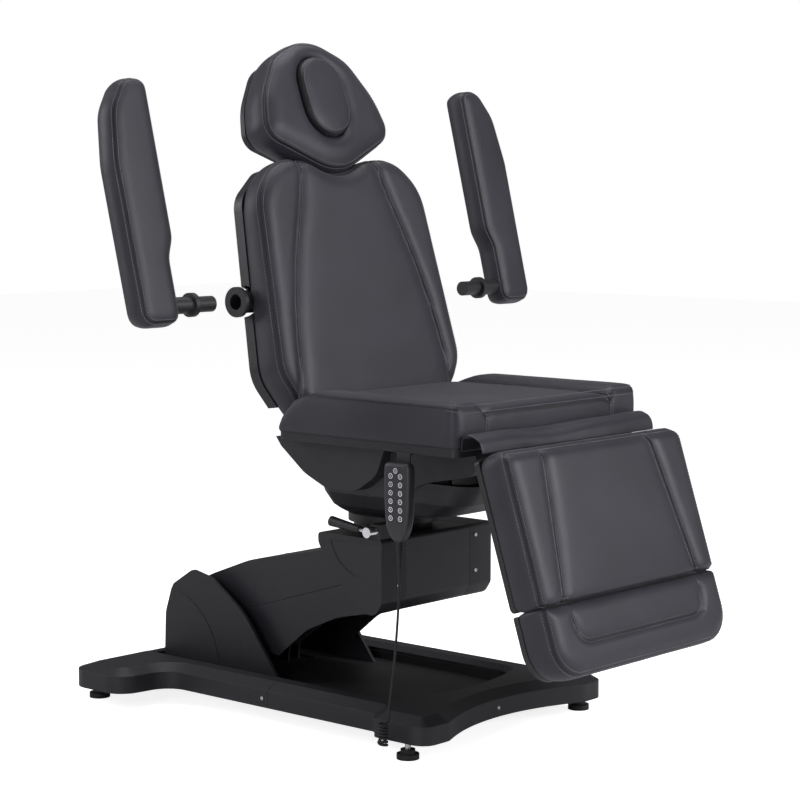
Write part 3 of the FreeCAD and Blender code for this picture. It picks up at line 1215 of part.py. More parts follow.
def seat_frame():
    top = BOARD_BOTTOM
    front_y = LEG_HINGE_Y + LEG_EYE + TILT_RAIL
    rail = block(FRAME_RAIL_IN, FRAME_RAIL_IN + FRAME_RAIL_THICK, front_y, FRAME_REAR_Y, FRAME_RAIL_BOTTOM, top)
    tilt_ear = bar(FRAME_RAIL_IN, FRAME_RAIL_IN + FRAME_RAIL_THICK, (TILT_Y, TILT_Z), (TILT_Y, top - FRAME_EYE), FRAME_EYE)
    front_cross = block(-FRAME_RAIL_IN - TILT_RAIL, FRAME_RAIL_IN + TILT_RAIL, front_y, front_y + FRAME_CROSS_DEPTH,
                        top - TILT_RAIL, top)
    back_cross_half = BACK_EAR_X - SEAM
    rear_cross = block(-back_cross_half, back_cross_half, FRAME_REAR_Y - FRAME_CROSS_DEPTH, FRAME_REAR_Y,
                       top - TILT_RAIL, top)
    leg_x = LEG_EAR_X - SEAM - LEG_EAR_THICK
    leg_ear = bar(leg_x, leg_x + LEG_EAR_THICK, (LEG_HINGE_Y, LEG_HINGE_Z), (front_y, top - LEG_EYE / 2 - WALL), LEG_EYE / 2 + WALL)
    back_x = BACK_EAR_X - SEAM - BACK_EAR_THICK
    back_ear = bar(back_x, back_x + BACK_EAR_THICK, (BACK_HINGE_Y, BACK_HINGE_Z),
                   (FRAME_REAR_Y - BACK_EYE / 2, top - BACK_EYE / 2), BACK_EYE * 0.7)
    back_ear = back_ear.cut(block(0, BACK_EAR_X * 2, SEAT_FRONT_Y, BOARD_REAR_Y + SEAM, BOARD_BOTTOM, SEAT_CROWN))
    pieces = [rail, tilt_ear, leg_ear, back_ear]
    frame = fused([front_cross, rear_cross] + pieces + [mirrored(piece) for piece in pieces])
    frame = frame.cut(rod_x(TILT_SHAFT_RADIUS + RUNNING_GAP, -SEAT_HALF, SEAT_HALF, TILT_Y, TILT_Z))
    frame = frame.cut(rod_x(HINGE_SHAFT_RADIUS, -SEAT_HALF, SEAT_HALF, LEG_HINGE_Y, LEG_HINGE_Z))
    return frame.cut(rod_x(HINGE_SHAFT_RADIUS, -SEAT_HALF, SEAT_HALF, BACK_HINGE_Y, BACK_HINGE_Z))


def seat_hinge_shafts():
    leg_reach = LEG_EAR_X + LEG_EAR_THICK
    back_reach = BACK_EAR_X + BACK_EAR_THICK
    return Part.Compound([
        rod_x(HINGE_SHAFT_RADIUS, -leg_reach, leg_reach, LEG_HINGE_Y, LEG_HINGE_Z),
        rod_x(HINGE_SHAFT_RADIUS, -back_reach, back_reach, BACK_HINGE_Y, BACK_HINGE_Z),
    ])


def skirt_half(top_half, low_half, outline, distance):
    """Side-profiled shell whose sides slope in towards the bottom."""
    low = SKIRT_BOTTOM - OVERRUN
    high = SKIRT_BOTTOM + SKIRT_HEIGHT
    slope = (top_half - low_half) / SKIRT_HEIGHT
    points = [
        (top_half - distance, high + distance * OVERRUN, 0), (top_half - distance, high, 0),
        (low_half - slope * OVERRUN - distance, low, 0),
    ]
    if not distance:
        points = points[1:]
    ring = mirrored_outline(points)
    front_y = SEAT_FRONT_Y - OVERRUN
    wire = rounded_wire(ring, lambda a, b: vec(a, front_y, b))
    wedge = Part.Face(wire).extrude(vec(0, SKIRT_REAR_Y + OVERRUN - front_y, 0))
    points = inset(outline, distance) if distance else outline
    return wedge.common(side_prism(points, -SEAT_HALF, SEAT_HALF))


def skirt_lobe_points():
    origin = (SKIRT_REAR_Y - SKIRT_LOBE_LENGTH, SKIRT_BOTTOM)
    return scaled(SKIRT_LOBE_SHARES, origin, (SKIRT_LOBE_LENGTH, SKIRT_HEIGHT))


def front_lobe_points():
    mirror = [(1 - a, b, radius) for a, b, radius in FRONT_LOBE_SHARES]
    origin = (FRONT_LOBE_REAR_Y - FRONT_LOBE_LENGTH, SKIRT_BOTTOM)
    return scaled([(1 - a, b, r) for a, b, r in mirror], origin, (FRONT_LOBE_LENGTH, SKIRT_HEIGHT))


def seat_skirt():
    rear = skirt_half(SKIRT_TOP_HALF, SKIRT_HALF, skirt_lobe_points(), 0)
    front = skirt_half(APRON_SHELL_TOP_HALF, APRON_SHELL_HALF, front_lobe_points(), 0)
    rear_hollow = skirt_half(SKIRT_TOP_HALF, SKIRT_HALF, skirt_lobe_points(), WALL)
    front_hollow = skirt_half(APRON_SHELL_TOP_HALF, APRON_SHELL_HALF, front_lobe_points(), WALL)
    shell = fused([rear, front]).cut(rear_hollow).cut(front_hollow)
    inner = SKIRT_HALF - WALL * 6
    rear_inner = SKIRT_REAR_Y - SKIRT_LOBE_LENGTH * 0.14
    front_inner = FRONT_LOBE_REAR_Y - FRONT_LOBE_LENGTH + WALL * 8
    well = block(-inner, inner, front_inner, rear_inner, SKIRT_BOTTOM - OVERRUN, BOARD_BOTTOM - WALL * 9)
    low_well = APRON_SHELL_HALF - WALL
    well = well.cut(block(low_well, inner * 2, SEAT_FRONT_Y * 2, FRONT_LOBE_REAR_Y, 0, BOARD_BOTTOM))
    well = well.cut(block(-inner * 2, -low_well, SEAT_FRONT_Y * 2, FRONT_LOBE_REAR_Y, 0, BOARD_BOTTOM))
    top = block(-SEAT_HALF, SEAT_HALF, SEAT_FRONT_Y, SKIRT_REAR_Y, BOARD_BOTTOM - WALL * 2, BOARD_BOTTOM)
    cut_top = top.common(block(-low_well, low_well, SEAT_FRONT_Y + WALL * 7, SKIRT_REAR_Y - WALL * 3, 0, BOARD_BOTTOM))
    ear_x = LEG_EAR_X - SEAM - LEG_EAR_THICK
    ears = block(ear_x - WALL, LEG_EAR_X + WALL, SEAT_FRONT_Y - OVERRUN, SEAT_FRONT_Y + OVERRUN,
                 LEG_HINGE_Z - LEG_EYE, BOARD_BOTTOM)
    slot = block(BACK_EAR_X - WALL, BACK_EAR_X + BACK_EAR_THICK + WALL, SKIRT_REAR_Y - WALL * 4,
                 SKIRT_REAR_Y + OVERRUN, BOARD_BOTTOM - WALL * 2, BOARD_BOTTOM)
    shell = shell.cut(slot).cut(mirrored(slot))
    return shell.cut(well).cut(cut_top).cut(ears).cut(mirrored(ears))


def seat_apron():
    """Leather sheet that bulges over the gap between the seat and the leg rest."""
    root = (SEAT_FRONT_Y - SOFT_GAP, APRON_ROOT_Z)
    outer = scaled(APRON_SHARES, root, (-APRON_REACH, APRON_RISE))
    inner = inset(outer, APRON_THICK)
    sheet = side_prism(outer, -APRON_HALF, APRON_HALF).cut(side_prism(inner, -SEAT_HALF, SEAT_HALF))
    mouth = block(-SEAT_HALF, SEAT_HALF, root[0] - APRON_REACH + APRON_THICK, root[0] - APRON_THICK,
                  APRON_ROOT_Z - OVERRUN, APRON_ROOT_Z + APRON_THICK * 2)
    return sheet.cut(mouth)


# Backrest pieces, built upright at their hinge and then leant back

def lean_back(shape):
    return lean(shape, BACK_HINGE_Y, BACK_HINGE_Z, BACK_TILT)


def back_outline():
    return mirrored_outline(scaled(BACK_OUTLINE_SHARES, (0, 0), (BACK_HALF, BACK_HEIGHT)))


def back_rear(s):
    return BACK_REAR_LOW + (BACK_REAR_HIGH - BACK_REAR_LOW) * s / BACK_HEIGHT


def back_cushion():
    wires = []
    for share, width, seam in BACK_WIDTH_SHARES:
        s = share * BACK_HEIGHT
        rear = back_rear(s)
        heights = (rear, BACK_FRONT - BACK_EDGE_DEPTH, BACK_FRONT, BACK_FRONT - BACK_SEAM_DEPTH, BACK_FRONT - BACK_CENTRE_DEPTH)
        wires.append(pad_section(BACK_HALF * width, BACK_DRAW_IN, BACK_HALF * seam, heights,
                                 lambda a, b, s=s: vec(a, -b, s)))
    body = loft(wires)
    body = body.common(front_prism(back_outline(), BACK_SHELL_REAR, BACK_FRONT + OVERRUN))
    body = body.cut(rod_x(BACK_EYE, -SEAT_HALF, SEAT_HALF, 0, 0))
    pocket = rod_x(SOCKET_BODY + SOFT_GAP, SOCKET_INNER_X - SOFT_GAP, SEAT_HALF + OVERRUN, -SOCKET_V, SOCKET_S)
    body = lean_back(body.cut(pocket).cut(mirrored(pocket)))
    return body.cut(side_prism(inset(seat_side_outline(), -WALL), -SEAT_HALF - OVERRUN, SEAT_HALF + OVERRUN))


def back_shell():
    bodies = []
    for wall in (0, WALL):
        outline = inset(back_outline(), BACK_SHELL_INSET + wall)
        small = inset(back_outline(), BACK_SHELL_TAPER + wall)
        front = rounded_wire(outline, lambda a, b: vec(a, SOFT_GAP - wall - back_rear(b), b))
        edge = rounded_wire(outline, lambda a, b: vec(a, SOFT_GAP + BACK_SHELL_EDGE - wall / 2 - back_rear(b), b))
        rear = rounded_wire(small, lambda a, b: vec(a, -wall - BACK_SHELL_REAR, b))
        bodies.append(loft([front, edge, rear]))
    shell = bodies[0].cut(bodies[1])
    shell = shell.cut(block(-SEAT_HALF, SEAT_HALF, -OVERRUN, OVERRUN * 2, -OVERRUN, BACK_SHELL_START))
    socket = rod_x(SOCKET_OUTER + SEAM, -SEAT_HALF * 2, SEAT_HALF * 2, -SOCKET_V, SOCKET_S)
    shell = shell.cut(socket.cut(rod_x(SOCKET_OUTER + OVERRUN, -SOCKET_INNER_X + WALL, SOCKET_INNER_X - WALL, -SOCKET_V, SOCKET_S)))
    for side in (-1, 1):
        shell = shell.cut(rod_z(GUIDE_RADIUS + SEAM, side * ROD_X, -ROD_V, ROD_LOW, BACK_HEIGHT + OVERRUN))
    return lean_back(shell)


def back_frame():
    rail = block(BACK_RAIL_X - BACK_RAIL_HALF_X, BACK_RAIL_X + BACK_RAIL_HALF_X, -BACK_RAIL_FRONT, -BACK_RAIL_REAR,
                 BACK_SHELL_START, BACK_RAIL_TOP)
    ear_y = BACK_EAR_X
    cross_top = BACK_SHELL_START + BACK_CROSS_HEIGHT
    ear = side_prism([
        (0, -BACK_EYE * 0.6, 0), (BACK_EYE * 0.6, -BACK_EYE * 0.4, 0), (-BACK_RAIL_REAR, BACK_SHELL_START / 2, 0),
        (-BACK_RAIL_REAR, cross_top, 0), (-BACK_RAIL_FRONT, cross_top, 0), (-BACK_RAIL_FRONT, BACK_EYE, 0), (0, 0, 0),
    ], ear_y, ear_y + BACK_EAR_THICK)
    ear = ear.fuse(rod_x(BACK_EYE * 0.72, ear_y, ear_y + BACK_EAR_THICK, 0, 0))
    low = block(-ear_y - BACK_EAR_THICK, ear_y + BACK_EAR_THICK, -BACK_RAIL_FRONT, -BACK_RAIL_REAR,
                BACK_SHELL_START, BACK_SHELL_START + BACK_CROSS_HEIGHT)
    mid = block(-SOCKET_INNER_X - WALL, SOCKET_INNER_X + WALL, -BACK_RAIL_FRONT, -BACK_RAIL_REAR,
                SOCKET_S - BACK_CROSS_HEIGHT / 2, SOCKET_S + BACK_CROSS_HEIGHT / 2)
    high = block(-BACK_RAIL_X, BACK_RAIL_X, -BACK_RAIL_FRONT, -BACK_RAIL_REAR, BACK_CROSS_TOP_S,
                 BACK_CROSS_TOP_S + BACK_CROSS_HEIGHT)
    guide = rod_z(GUIDE_RADIUS, ROD_X, -ROD_V, GUIDE_LOW, GUIDE_HIGH)
    frame = fused([rail, mirrored(rail), ear, mirrored(ear), low, mid, high, guide, mirrored(guide)])
    frame = frame.cut(rod_x(HINGE_SHAFT_RADIUS + RUNNING_GAP, -SEAT_HALF, SEAT_HALF, 0, 0))
    for side in (-1, 1):
        frame = frame.cut(rod_z(ROD_RADIUS + RUNNING_GAP, side * ROD_X, -ROD_V, GUIDE_LOW - OVERRUN, BACK_HEIGHT))
        frame = frame.cut(rod_x(SOCKET_BODY, min(side * SOCKET_INNER_X, side * SOCKET_FACE_X),
                                max(side * SOCKET_INNER_X, side * SOCKET_FACE_X), -SOCKET_V, SOCKET_S))
    return lean_back(frame)


def arm_sockets():
    body = rod_x(SOCKET_BODY, SOCKET_INNER_X, SOCKET_FACE_X, -SOCKET_V, SOCKET_S)
    flange = rod_x(SOCKET_OUTER, SOCKET_FACE_X - SOCKET_FLANGE, SOCKET_FACE_X, -SOCKET_V, SOCKET_S)
    socket = body.fuse(flange).removeSplitter()
    depth = SOCKET_FACE_X - PIN_LENGTH - WALL
    socket = socket.cut(rod_x(PIN_RADIUS + SOCKET_GAP, depth, SOCKET_FACE_X + OVERRUN, -SOCKET_V, SOCKET_S))
    return lean_back(pair(socket))


# Headrest pieces

def place_headrest(shape):
    """From the headrest's own frame to the backrest's, and on to the chair's."""
    placed = shape.copy()
    placed.rotate(vec(0, 0, 0), vec(1, 0, 0), -HEADREST_LEAN)
    placed.translate(vec(0, -HEADREST_V, HEADREST_S))
    return lean_back(placed)


def headrest_outline():
    return mirrored_outline(scaled(HEADREST_OUTLINE_SHARES, (0, 0), (HEADREST_HALF, HEADREST_HEIGHT)))


def plug_outline():
    return mirrored_outline([(PLUG_HALF, PLUG_LOW, PLUG_HALF * 0.97), (PLUG_HALF, PLUG_HIGH, PLUG_HALF * 0.97)])


def headrest_rods():
    return [rod_z(ROD_RADIUS, side * ROD_X, -ROD_V, ROD_LOW, ROD_HIGH) for side in (-1, 1)]


def headrest_bar():
    return lean_back(Part.Compound(headrest_rods()))


def headrest_cushion():
    wires = []
    for depth, narrower in HEADREST_LEVEL_SHARES:
        outline = inset(headrest_outline(), narrower * HEADREST_HALF) if narrower else headrest_outline()
        level = -HEADREST_THICK + depth * HEADREST_THICK
        wires.append(rounded_wire(outline, lambda a, b, level=level: vec(a, -level, b)))
    body = loft(wires)
    hole = front_prism(inset(plug_outline(), -SOFT_GAP), -HEADREST_THICK - OVERRUN, OVERRUN)
    body = place_headrest(body.cut(hole))
    for side in (-1, 1):
        sleeve = rod_z(ROD_RADIUS + SOFT_GAP, side * ROD_X, -ROD_V, ROD_LOW, ROD_HIGH + SOFT_GAP)
        body = body.cut(lean_back(sleeve))
    return body


def headrest_pan():
    outline = inset(headrest_outline(), HEADREST_HALF * HEADREST_LEVEL_SHARES[0][1])
    low = -HEADREST_THICK - SOFT_GAP - HEADREST_PAN_THICK
    pan = front_prism(outline, low, -HEADREST_THICK - SOFT_GAP)
    pan = pan.cut(front_prism(inset(plug_outline(), -WALL), low - OVERRUN, OVERRUN))
    pan = place_headrest(pan)
    for side in (-1, 1):
        pan = pan.cut(lean_back(rod_z(ROD_RADIUS, side * ROD_X, -ROD_V, ROD_LOW, ROD_HIGH)))
    return pan


def headrest_plug():
    outline = plug_outline()
    levels = [(-PLUG_DEPTH, PLUG_EDGE / 3), (-PLUG_EDGE, 0), (0, PLUG_EDGE / 3), (PLUG_CROWN, PLUG_EDGE * 1.6)]
    wires = []
    for level, narrower in levels:
        points = inset(outline, narrower) if narrower else outline
        wires.append(rounded_wire(points, lambda a, b, level=level: vec(a, -level, b)))
    plug = place_headrest(loft(wires))
    for side in (-1, 1):
        sleeve = rod_z(ROD_RADIUS + SOFT_GAP, side * ROD_X, -ROD_V, ROD_LOW, ROD_HIGH + SOFT_GAP)
        plug = plug.cut(lean_back(sleeve))
    return plug


# Armrest pieces

def socket_axis():
    """The sockets' axis (y, z) on the leant backrest."""
    tilt = math.radians(BACK_TILT)
    y = BACK_HINGE_Y - SOCKET_V * math.cos(tilt) + SOCKET_S * math.sin(tilt)
    z = BACK_HINGE_Z + SOCKET_V * math.sin(tilt) + SOCKET_S * math.cos(tilt)
    return y, z


def arm_pin(drawn):
    """Pin, flange and tube of one armrest, on the +X side."""
    y, z = socket_axis()
    flange_x = SOCKET_FACE_X + drawn
    pin = rod_x(PIN_RADIUS, flange_x - PIN_LENGTH, flange_x, y, z)
    flange = rod_x(PIN_FLANGE_RADIUS, flange_x, flange_x + PIN_FLANGE_THICK, y, z)
    tube_end = flange_x + PIN_FLANGE_THICK + PIN_TUBE_LENGTH + PIN_DEPTH
    tube = rod_x(PIN_TUBE_RADIUS, flange_x + PIN_FLANGE_THICK, tube_end, y, z)
    return fused([pin, flange, tube])


def arm_pad(drawn):
    """Padded armrest, on the +X side: narrower low down and curved in towards its tip."""
    y, z = socket_axis()
    inner_x = SOCKET_FACE_X + drawn + PIN_FLANGE_THICK + PIN_TUBE_LENGTH
    outline = scaled(ARM_PAD_OUTLINE_SHARES, (inner_x, -ARM_PAD_BELOW), (ARM_PAD_WIDTH, ARM_PAD_LENGTH))
    wires = []
    for share, narrower in ARM_PAD_LEVEL_SHARES:
        level = (share - ARM_PAD_LEVEL_SHARES[-1][0] / 2) * ARM_PAD_THICK
        points = inset(outline, narrower * ARM_PAD_THICK) if narrower else outline
        wires.append(rounded_wire(points, lambda a, b, level=level: vec(a, level, b)))
    pad = lean(loft(wires), y, z, ARM_PAD_TILT)
    bore = rod_x(PIN_TUBE_RADIUS + RUNNING_GAP, inner_x - OVERRUN, inner_x + PIN_DEPTH + SOFT_GAP, y, z)
    return pad.cut(bore)


# Leg rest pieces, built hanging from their hinge and then swung forward

def hang(shape):
    return lean(shape, LEG_HINGE_Y, LEG_HINGE_Z, LEG_TILT)


def leg_section(s, thick, seam_share, narrower):
    front = LEG_REAR + LEG_PAN_THICK + SOFT_GAP + thick
    rear = LEG_REAR + LEG_PAN_THICK + SOFT_GAP
    heights = (rear, front - BACK_EDGE_DEPTH, front, front - BACK_SEAM_DEPTH, front - BACK_CENTRE_DEPTH)
    return pad_section(LEG_HALF - narrower, LEG_DRAW_IN, LEG_HALF * seam_share, heights, lambda a, b: vec(a, -b, -s))


def leg_cushion():
    full = LEG_FRONT - LEG_REAR - LEG_PAN_THICK - SOFT_GAP
    stations = [
        (LEG_TOP_S, full - LEG_ROUND, LEG_SEAM_TOP_SHARE, LEG_ROUND / 3),
        (LEG_TOP_S + LEG_ROUND * 0.3, full - LEG_ROUND * 0.4, LEG_SEAM_TOP_SHARE, LEG_ROUND / 9),
        (LEG_TOP_S + LEG_ROUND, full, LEG_SEAM_TOP_SHARE, 0),
        (LEG_BOTTOM_S - LEG_ROUND / 2, full, LEG_SEAM_BOTTOM_SHARE, 0),
        (LEG_BOTTOM_S, full - LEG_ROUND / 4, LEG_SEAM_BOTTOM_SHARE, LEG_ROUND / 5),
    ]
    return hang(loft([leg_section(*station) for station in stations]))


def leg_ears():
    ear = side_prism([
        (0, LEG_EYE * 0.9, 0), (LEG_EYE * 0.7, 0, 0), (0, -LEG_EYE * 0.9, 0), (-LEG_REAR, -LEG_EYE * 2.2, 0),
        (-LEG_REAR, -LEG_TOP_S - WALL, 0),
    ], LEG_EAR_X, LEG_EAR_X + LEG_EAR_THICK)
    return ear.fuse(rod_x(LEG_EYE, LEG_EAR_X, LEG_EAR_X + LEG_EAR_THICK, 0, 0)).removeSplitter()


def legrest_pan():
    outline = mirrored_outline([
        (LEG_HALF - LEG_DRAW_IN, -LEG_BOTTOM_S, LEG_ROUND / 2), (LEG_HALF - LEG_DRAW_IN, -LEG_TOP_S, LEG_ROUND / 2),
    ])
    pan = front_prism(outline, LEG_REAR, LEG_REAR + LEG_PAN_THICK)
    sleeve = block(SLIDE_X - SLEEVE_HALF, SLIDE_X + SLEEVE_HALF, -LEG_REAR, SLEEVE_HALF - SLIDE_V,
                   -LEG_BOTTOM_S, SLEEVE_LENGTH - LEG_BOTTOM_S)
    ear = leg_ears()
    pan = fused([pan, ear, mirrored(ear), sleeve, mirrored(sleeve)])
    pan = pan.cut(rod_x(HINGE_SHAFT_RADIUS + RUNNING_GAP, -SEAT_HALF, SEAT_HALF, 0, 0))
    for side in (-1, 1):
        pan = pan.cut(rod_z(SLIDE_RADIUS + RUNNING_GAP, side * SLIDE_X, -SLIDE_V, -LEG_BOTTOM_S - OVERRUN, 0))
    return hang(pan)


def footrest_outline():
    top = -LEG_BOTTOM_S - LEG_GAP
    return mirrored_outline([
        (LEG_HALF - LEG_DRAW_IN, top - FOOT_LENGTH, FOOT_CORNER), (LEG_HALF - LEG_DRAW_IN, top, LEG_ROUND / 3),
    ])


def footrest_cushion():
    full = LEG_FRONT - LEG_REAR - LEG_PAN_THICK - SOFT_GAP
    rear = LEG_REAR + LEG_PAN_THICK + SOFT_GAP
    wires = []
    for depth, narrower in FOOT_LEVEL_SHARES:
        outline = inset(footrest_outline(), narrower) if narrower else footrest_outline()
        level = rear + depth * full
        wires.append(rounded_wire(outline, lambda a, b, level=level: vec(a, -level, b)))
    body = loft(wires)
    top = -LEG_BOTTOM_S - LEG_GAP
    panel = mirrored_outline([
        (LEG_HALF - FOOT_PANEL_INSET, top - FOOT_LENGTH + FOOT_PANEL_INSET * 0.75, FOOT_CORNER / 2),
        (LEG_HALF - FOOT_PANEL_INSET, top + OVERRUN, 0),
    ])
    front = LEG_FRONT - FOOT_GROOVE_DEPTH
    groove = front_prism(panel, front, LEG_FRONT + OVERRUN)
    groove = groove.cut(front_prism(inset(panel, FOOT_GROOVE), front, LEG_FRONT + OVERRUN))
    return hang(body.cut(groove))


def footrest_pan():
    outline = inset(footrest_outline(), WALL)
    pan = front_prism(outline, LEG_REAR, LEG_REAR + LEG_PAN_THICK)
    rod = rod_z(SLIDE_RADIUS, SLIDE_X, -SLIDE_V, -LEG_BOTTOM_S - LEG_GAP - SLEEVE_LENGTH, -SLIDE_TOP_S)
    foot = block(SLIDE_X - SLIDE_RADIUS, SLIDE_X + SLIDE_RADIUS, -LEG_REAR, -SLIDE_V, -LEG_BOTTOM_S - LEG_GAP - SLEEVE_LENGTH,
                 -LEG_BOTTOM_S - LEG_GAP - WALL)
    return hang(fused([pan, rod, mirrored(rod), foot, mirrored(foot)]))


def footrest_buffers():
    buffers = []
    for side in (-1, 1):
        x = side * (LEG_HALF - LEG_DRAW_IN - BUFFER_RADIUS - BUFFER_S)
        z = -LEG_BOTTOM_S - LEG_GAP - BUFFER_S
        buffers.append(rod_y(BUFFER_RADIUS, x, -LEG_REAR, BUFFER_LENGTH - LEG_REAR, z))
    return hang(Part.Compound(buffers))


# Hand control pieces

def handset_outline():
    origin = (HANDSET_MID_Y, HANDSET_TOP - HANDSET_LENGTH)
    points = []
    for a, b, radius in HANDSET_SHARES:
        points.append((origin[0] + a * HANDSET_HALF, origin[1] + b * HANDSET_LENGTH, radius * HANDSET_HALF))
    return points


def handset_shell():
    outline = handset_outline()
    bodies = []
    for level, narrower in ((0, WALL), (WALL, 0), (HANDSET_THICK - WALL, 0), (HANDSET_THICK, WALL)):
        points = inset(outline, narrower) if narrower else outline
        x = HANDSET_X + level
        bodies.append(rounded_wire(points, lambda a, b, x=x: vec(x, a, b)))
    return loft(bodies)


def key_spots():
    top = HANDSET_TOP - KEY_TOP_DROP
    spots = [(HANDSET_MID_Y, top + KEY_PITCH * 0.4)]
    for row in range(KEY_ROWS):
        for side in (-1, 1):
            spots.append((HANDSET_MID_Y + side * KEY_COLUMN, top - KEY_PITCH * (row + 0.25)))
    return spots


def handset_keypad():
    low = HANDSET_TOP - HANDSET_LENGTH + HANDSET_LENGTH * KEYPAD_BOTTOM_SHARE
    mat = side_prism([
        (HANDSET_MID_Y - HANDSET_HALF * 0.7, low, WALL), (HANDSET_MID_Y + HANDSET_HALF * 0.7, low, WALL),
        (HANDSET_MID_Y + HANDSET_HALF * 0.7, HANDSET_TOP - WALL * 2.2, WALL),
        (HANDSET_MID_Y - HANDSET_HALF * 0.7, HANDSET_TOP - WALL * 2.2, WALL),
    ], HANDSET_X - KEYPAD_THICK, HANDSET_X)
    keys = [rod_x(KEY_RADIUS, HANDSET_X - KEY_HEIGHT, HANDSET_X, y, z) for y, z in key_spots()]
    return fused([mat] + keys)


def handset_hook():
    back = HANDSET_X + HANDSET_THICK + SOFT_GAP
    plate = block(back, back + HOOK_THICK, HANDSET_MID_Y - HOOK_HALF, HANDSET_MID_Y + HOOK_HALF,
                  BOARD_BOTTOM - HOOK_DROP, BOARD_BOTTOM)
    tab = block(back, back + HOOK_RUN, HANDSET_MID_Y - HOOK_HALF, HANDSET_MID_Y + HOOK_HALF,
                BOARD_BOTTOM - HOOK_THICK, BOARD_BOTTOM)
    return fused([plate, tab])


def cord_strain_relief():
    x = HANDSET_X + HANDSET_THICK / 2
    top = HANDSET_TOP - HANDSET_LENGTH
    return Part.makeCone(RELIEF_SMALL, RELIEF_LARGE, RELIEF_LENGTH, vec(x, HANDSET_MID_Y, top - RELIEF_LENGTH), vec(0, 0, 1))


# The hanging run of the cord, chosen by hand, from the strain relief to the top of the curls
CORD_ROUTE = [
    (-308.5, -291.0, 386.0), (-308.8, -290.8, 360.0), (-310.5, -289.6, 305.0), (-313.0, -286.5, 245.0),
    (-315.5, -281.5, 185.0), (-317.5, -275.5, 135.0), (-318.3, -272.0, 105.0), (-318.5, -271.5, 88.0),
]
# From the foot of the curls, in under the edge of the base cover to the chassis
CORD_TAIL = [
    (-318.5, -258.2, 29.0), (-317.0, -246.0, 28.5), (-309.0, -234.0, 27.5), (-297.0, -226.0, 27.5),
    (-283.0, -220.0, 30.0), (-270.0, -216.0, 37.0), (-258.0, -214.0, 46.0), (-244.0, -213.0, 50.0),
]


def tangent_path(points):
    """Straight runs joined by arcs as large as the runs allow; returns the wire and the least radius."""
    spots = [vec(*point) for point in points]
    edges = []
    radii = []
    start = spots[0]
    for before, here, after in zip(spots, spots[1:], spots[2:]):
        into = (here - before).normalize()
        out = (after - here).normalize()
        turn = into.getAngle(out)
        reach = 0.45 * min((here - before).Length, (after - here).Length)
        radius = reach / math.tan(turn / 2)
        radii.append(radius)
        entry = here - into * reach
        leave = here + out * reach
        inward = (out - into).normalize()
        middle = here + inward * (radius / math.cos(turn / 2) - radius)
        edges.append(Part.makeLine(start, entry))
        edges.append(Part.Arc(entry, middle, leave).toShape())
        start = leave
    edges.append(Part.makeLine(start, spots[-1]))
    return Part.Wire(edges), radii


def tube_along(wire, radius):
    first = wire.Edges[0]
    start = first.valueAt(first.FirstParameter)
    circle = Part.Wire(Part.makeCircle(radius, start, first.tangentAt(first.FirstParameter)))
    return wire.makePipeShell([circle], True, False)


def handset_cord():
    wire, radii = tangent_path(CORD_ROUTE)
    tube = tube_along(wire, CORD_RADIUS)
    print("cord radii", [round(value) for value in radii], "length", round(wire.Length, 1),
          "volume ratio", round(tube.Volume / (math.pi * CORD_RADIUS ** 2 * wire.Length), 4))
    return tube


def curl_point(turns):
    """Point of the curls after so many turns, from the top down."""
    angle = 2 * math.pi * turns
    x, y, z = CORD_ROUTE[-1]
    middle_x = x - CURL_RADIUS
    middle_y = y + CURL_RADIUS
    top = z - 2 * CORD_RADIUS - CURL_RADIUS
    return vec(middle_x + CURL_RADIUS * math.cos(angle), middle_y + CURL_RADIUS * math.sin(angle), top - CURL_PITCH * turns)


def cord_curls():
    """Curly part of the cord: one unbroken tube, straight at both ends, on quarter-turn arcs."""
    start = vec(*CORD_ROUTE[-1])
    drop = start - vec(0, 0, 2 * CORD_RADIUS)
    first = curl_point(0)
    bend = first - vec(0, CURL_RADIUS * math.sin(math.pi / 4), 0) + vec(0, 0, CURL_RADIUS * (1 - math.cos(math.pi / 4)))
    edges = [Part.makeLine(start, drop), Part.Arc(drop, bend, first).toShape()]
    for step in range(CURL_TURNS * 4):
        edges.append(Part.Arc(curl_point(step / 4), curl_point((step + 0.5) / 4), curl_point((step + 1) / 4)).toShape())
    last = curl_point(CURL_TURNS)
    edges.append(Part.makeLine(last, last + vec(0, 2 * CORD_RADIUS, -CURL_PITCH / (2 * math.pi))))
    wire = Part.Wire(edges)
    tube = tube_along(wire, CORD_RADIUS)
    middle = wire.Edges[2:-1]
    spots = [edge.valueAt(edge.FirstParameter + (edge.LastParameter - edge.FirstParameter) * part / 8)
             for edge in middle for part in range(8)]
    gap = min((b - a).Length for i, a in enumerate(spots) for b in spots[i + 16:i + 48]) - 2 * CORD_RADIUS
    print("curl end", last, "least gap", round(gap, 2), "volume ratio",
          round(tube.Volume / (math.pi * CORD_RADIUS ** 2 * wire.Length), 4))
    return tube


def cord_tail():
    wire, radii = tangent_path(CORD_TAIL)
    print("tail radii", [round(value) for value in radii], "length", round(wire.Length, 1))
    return tube_along(wire, CORD_RADIUS)


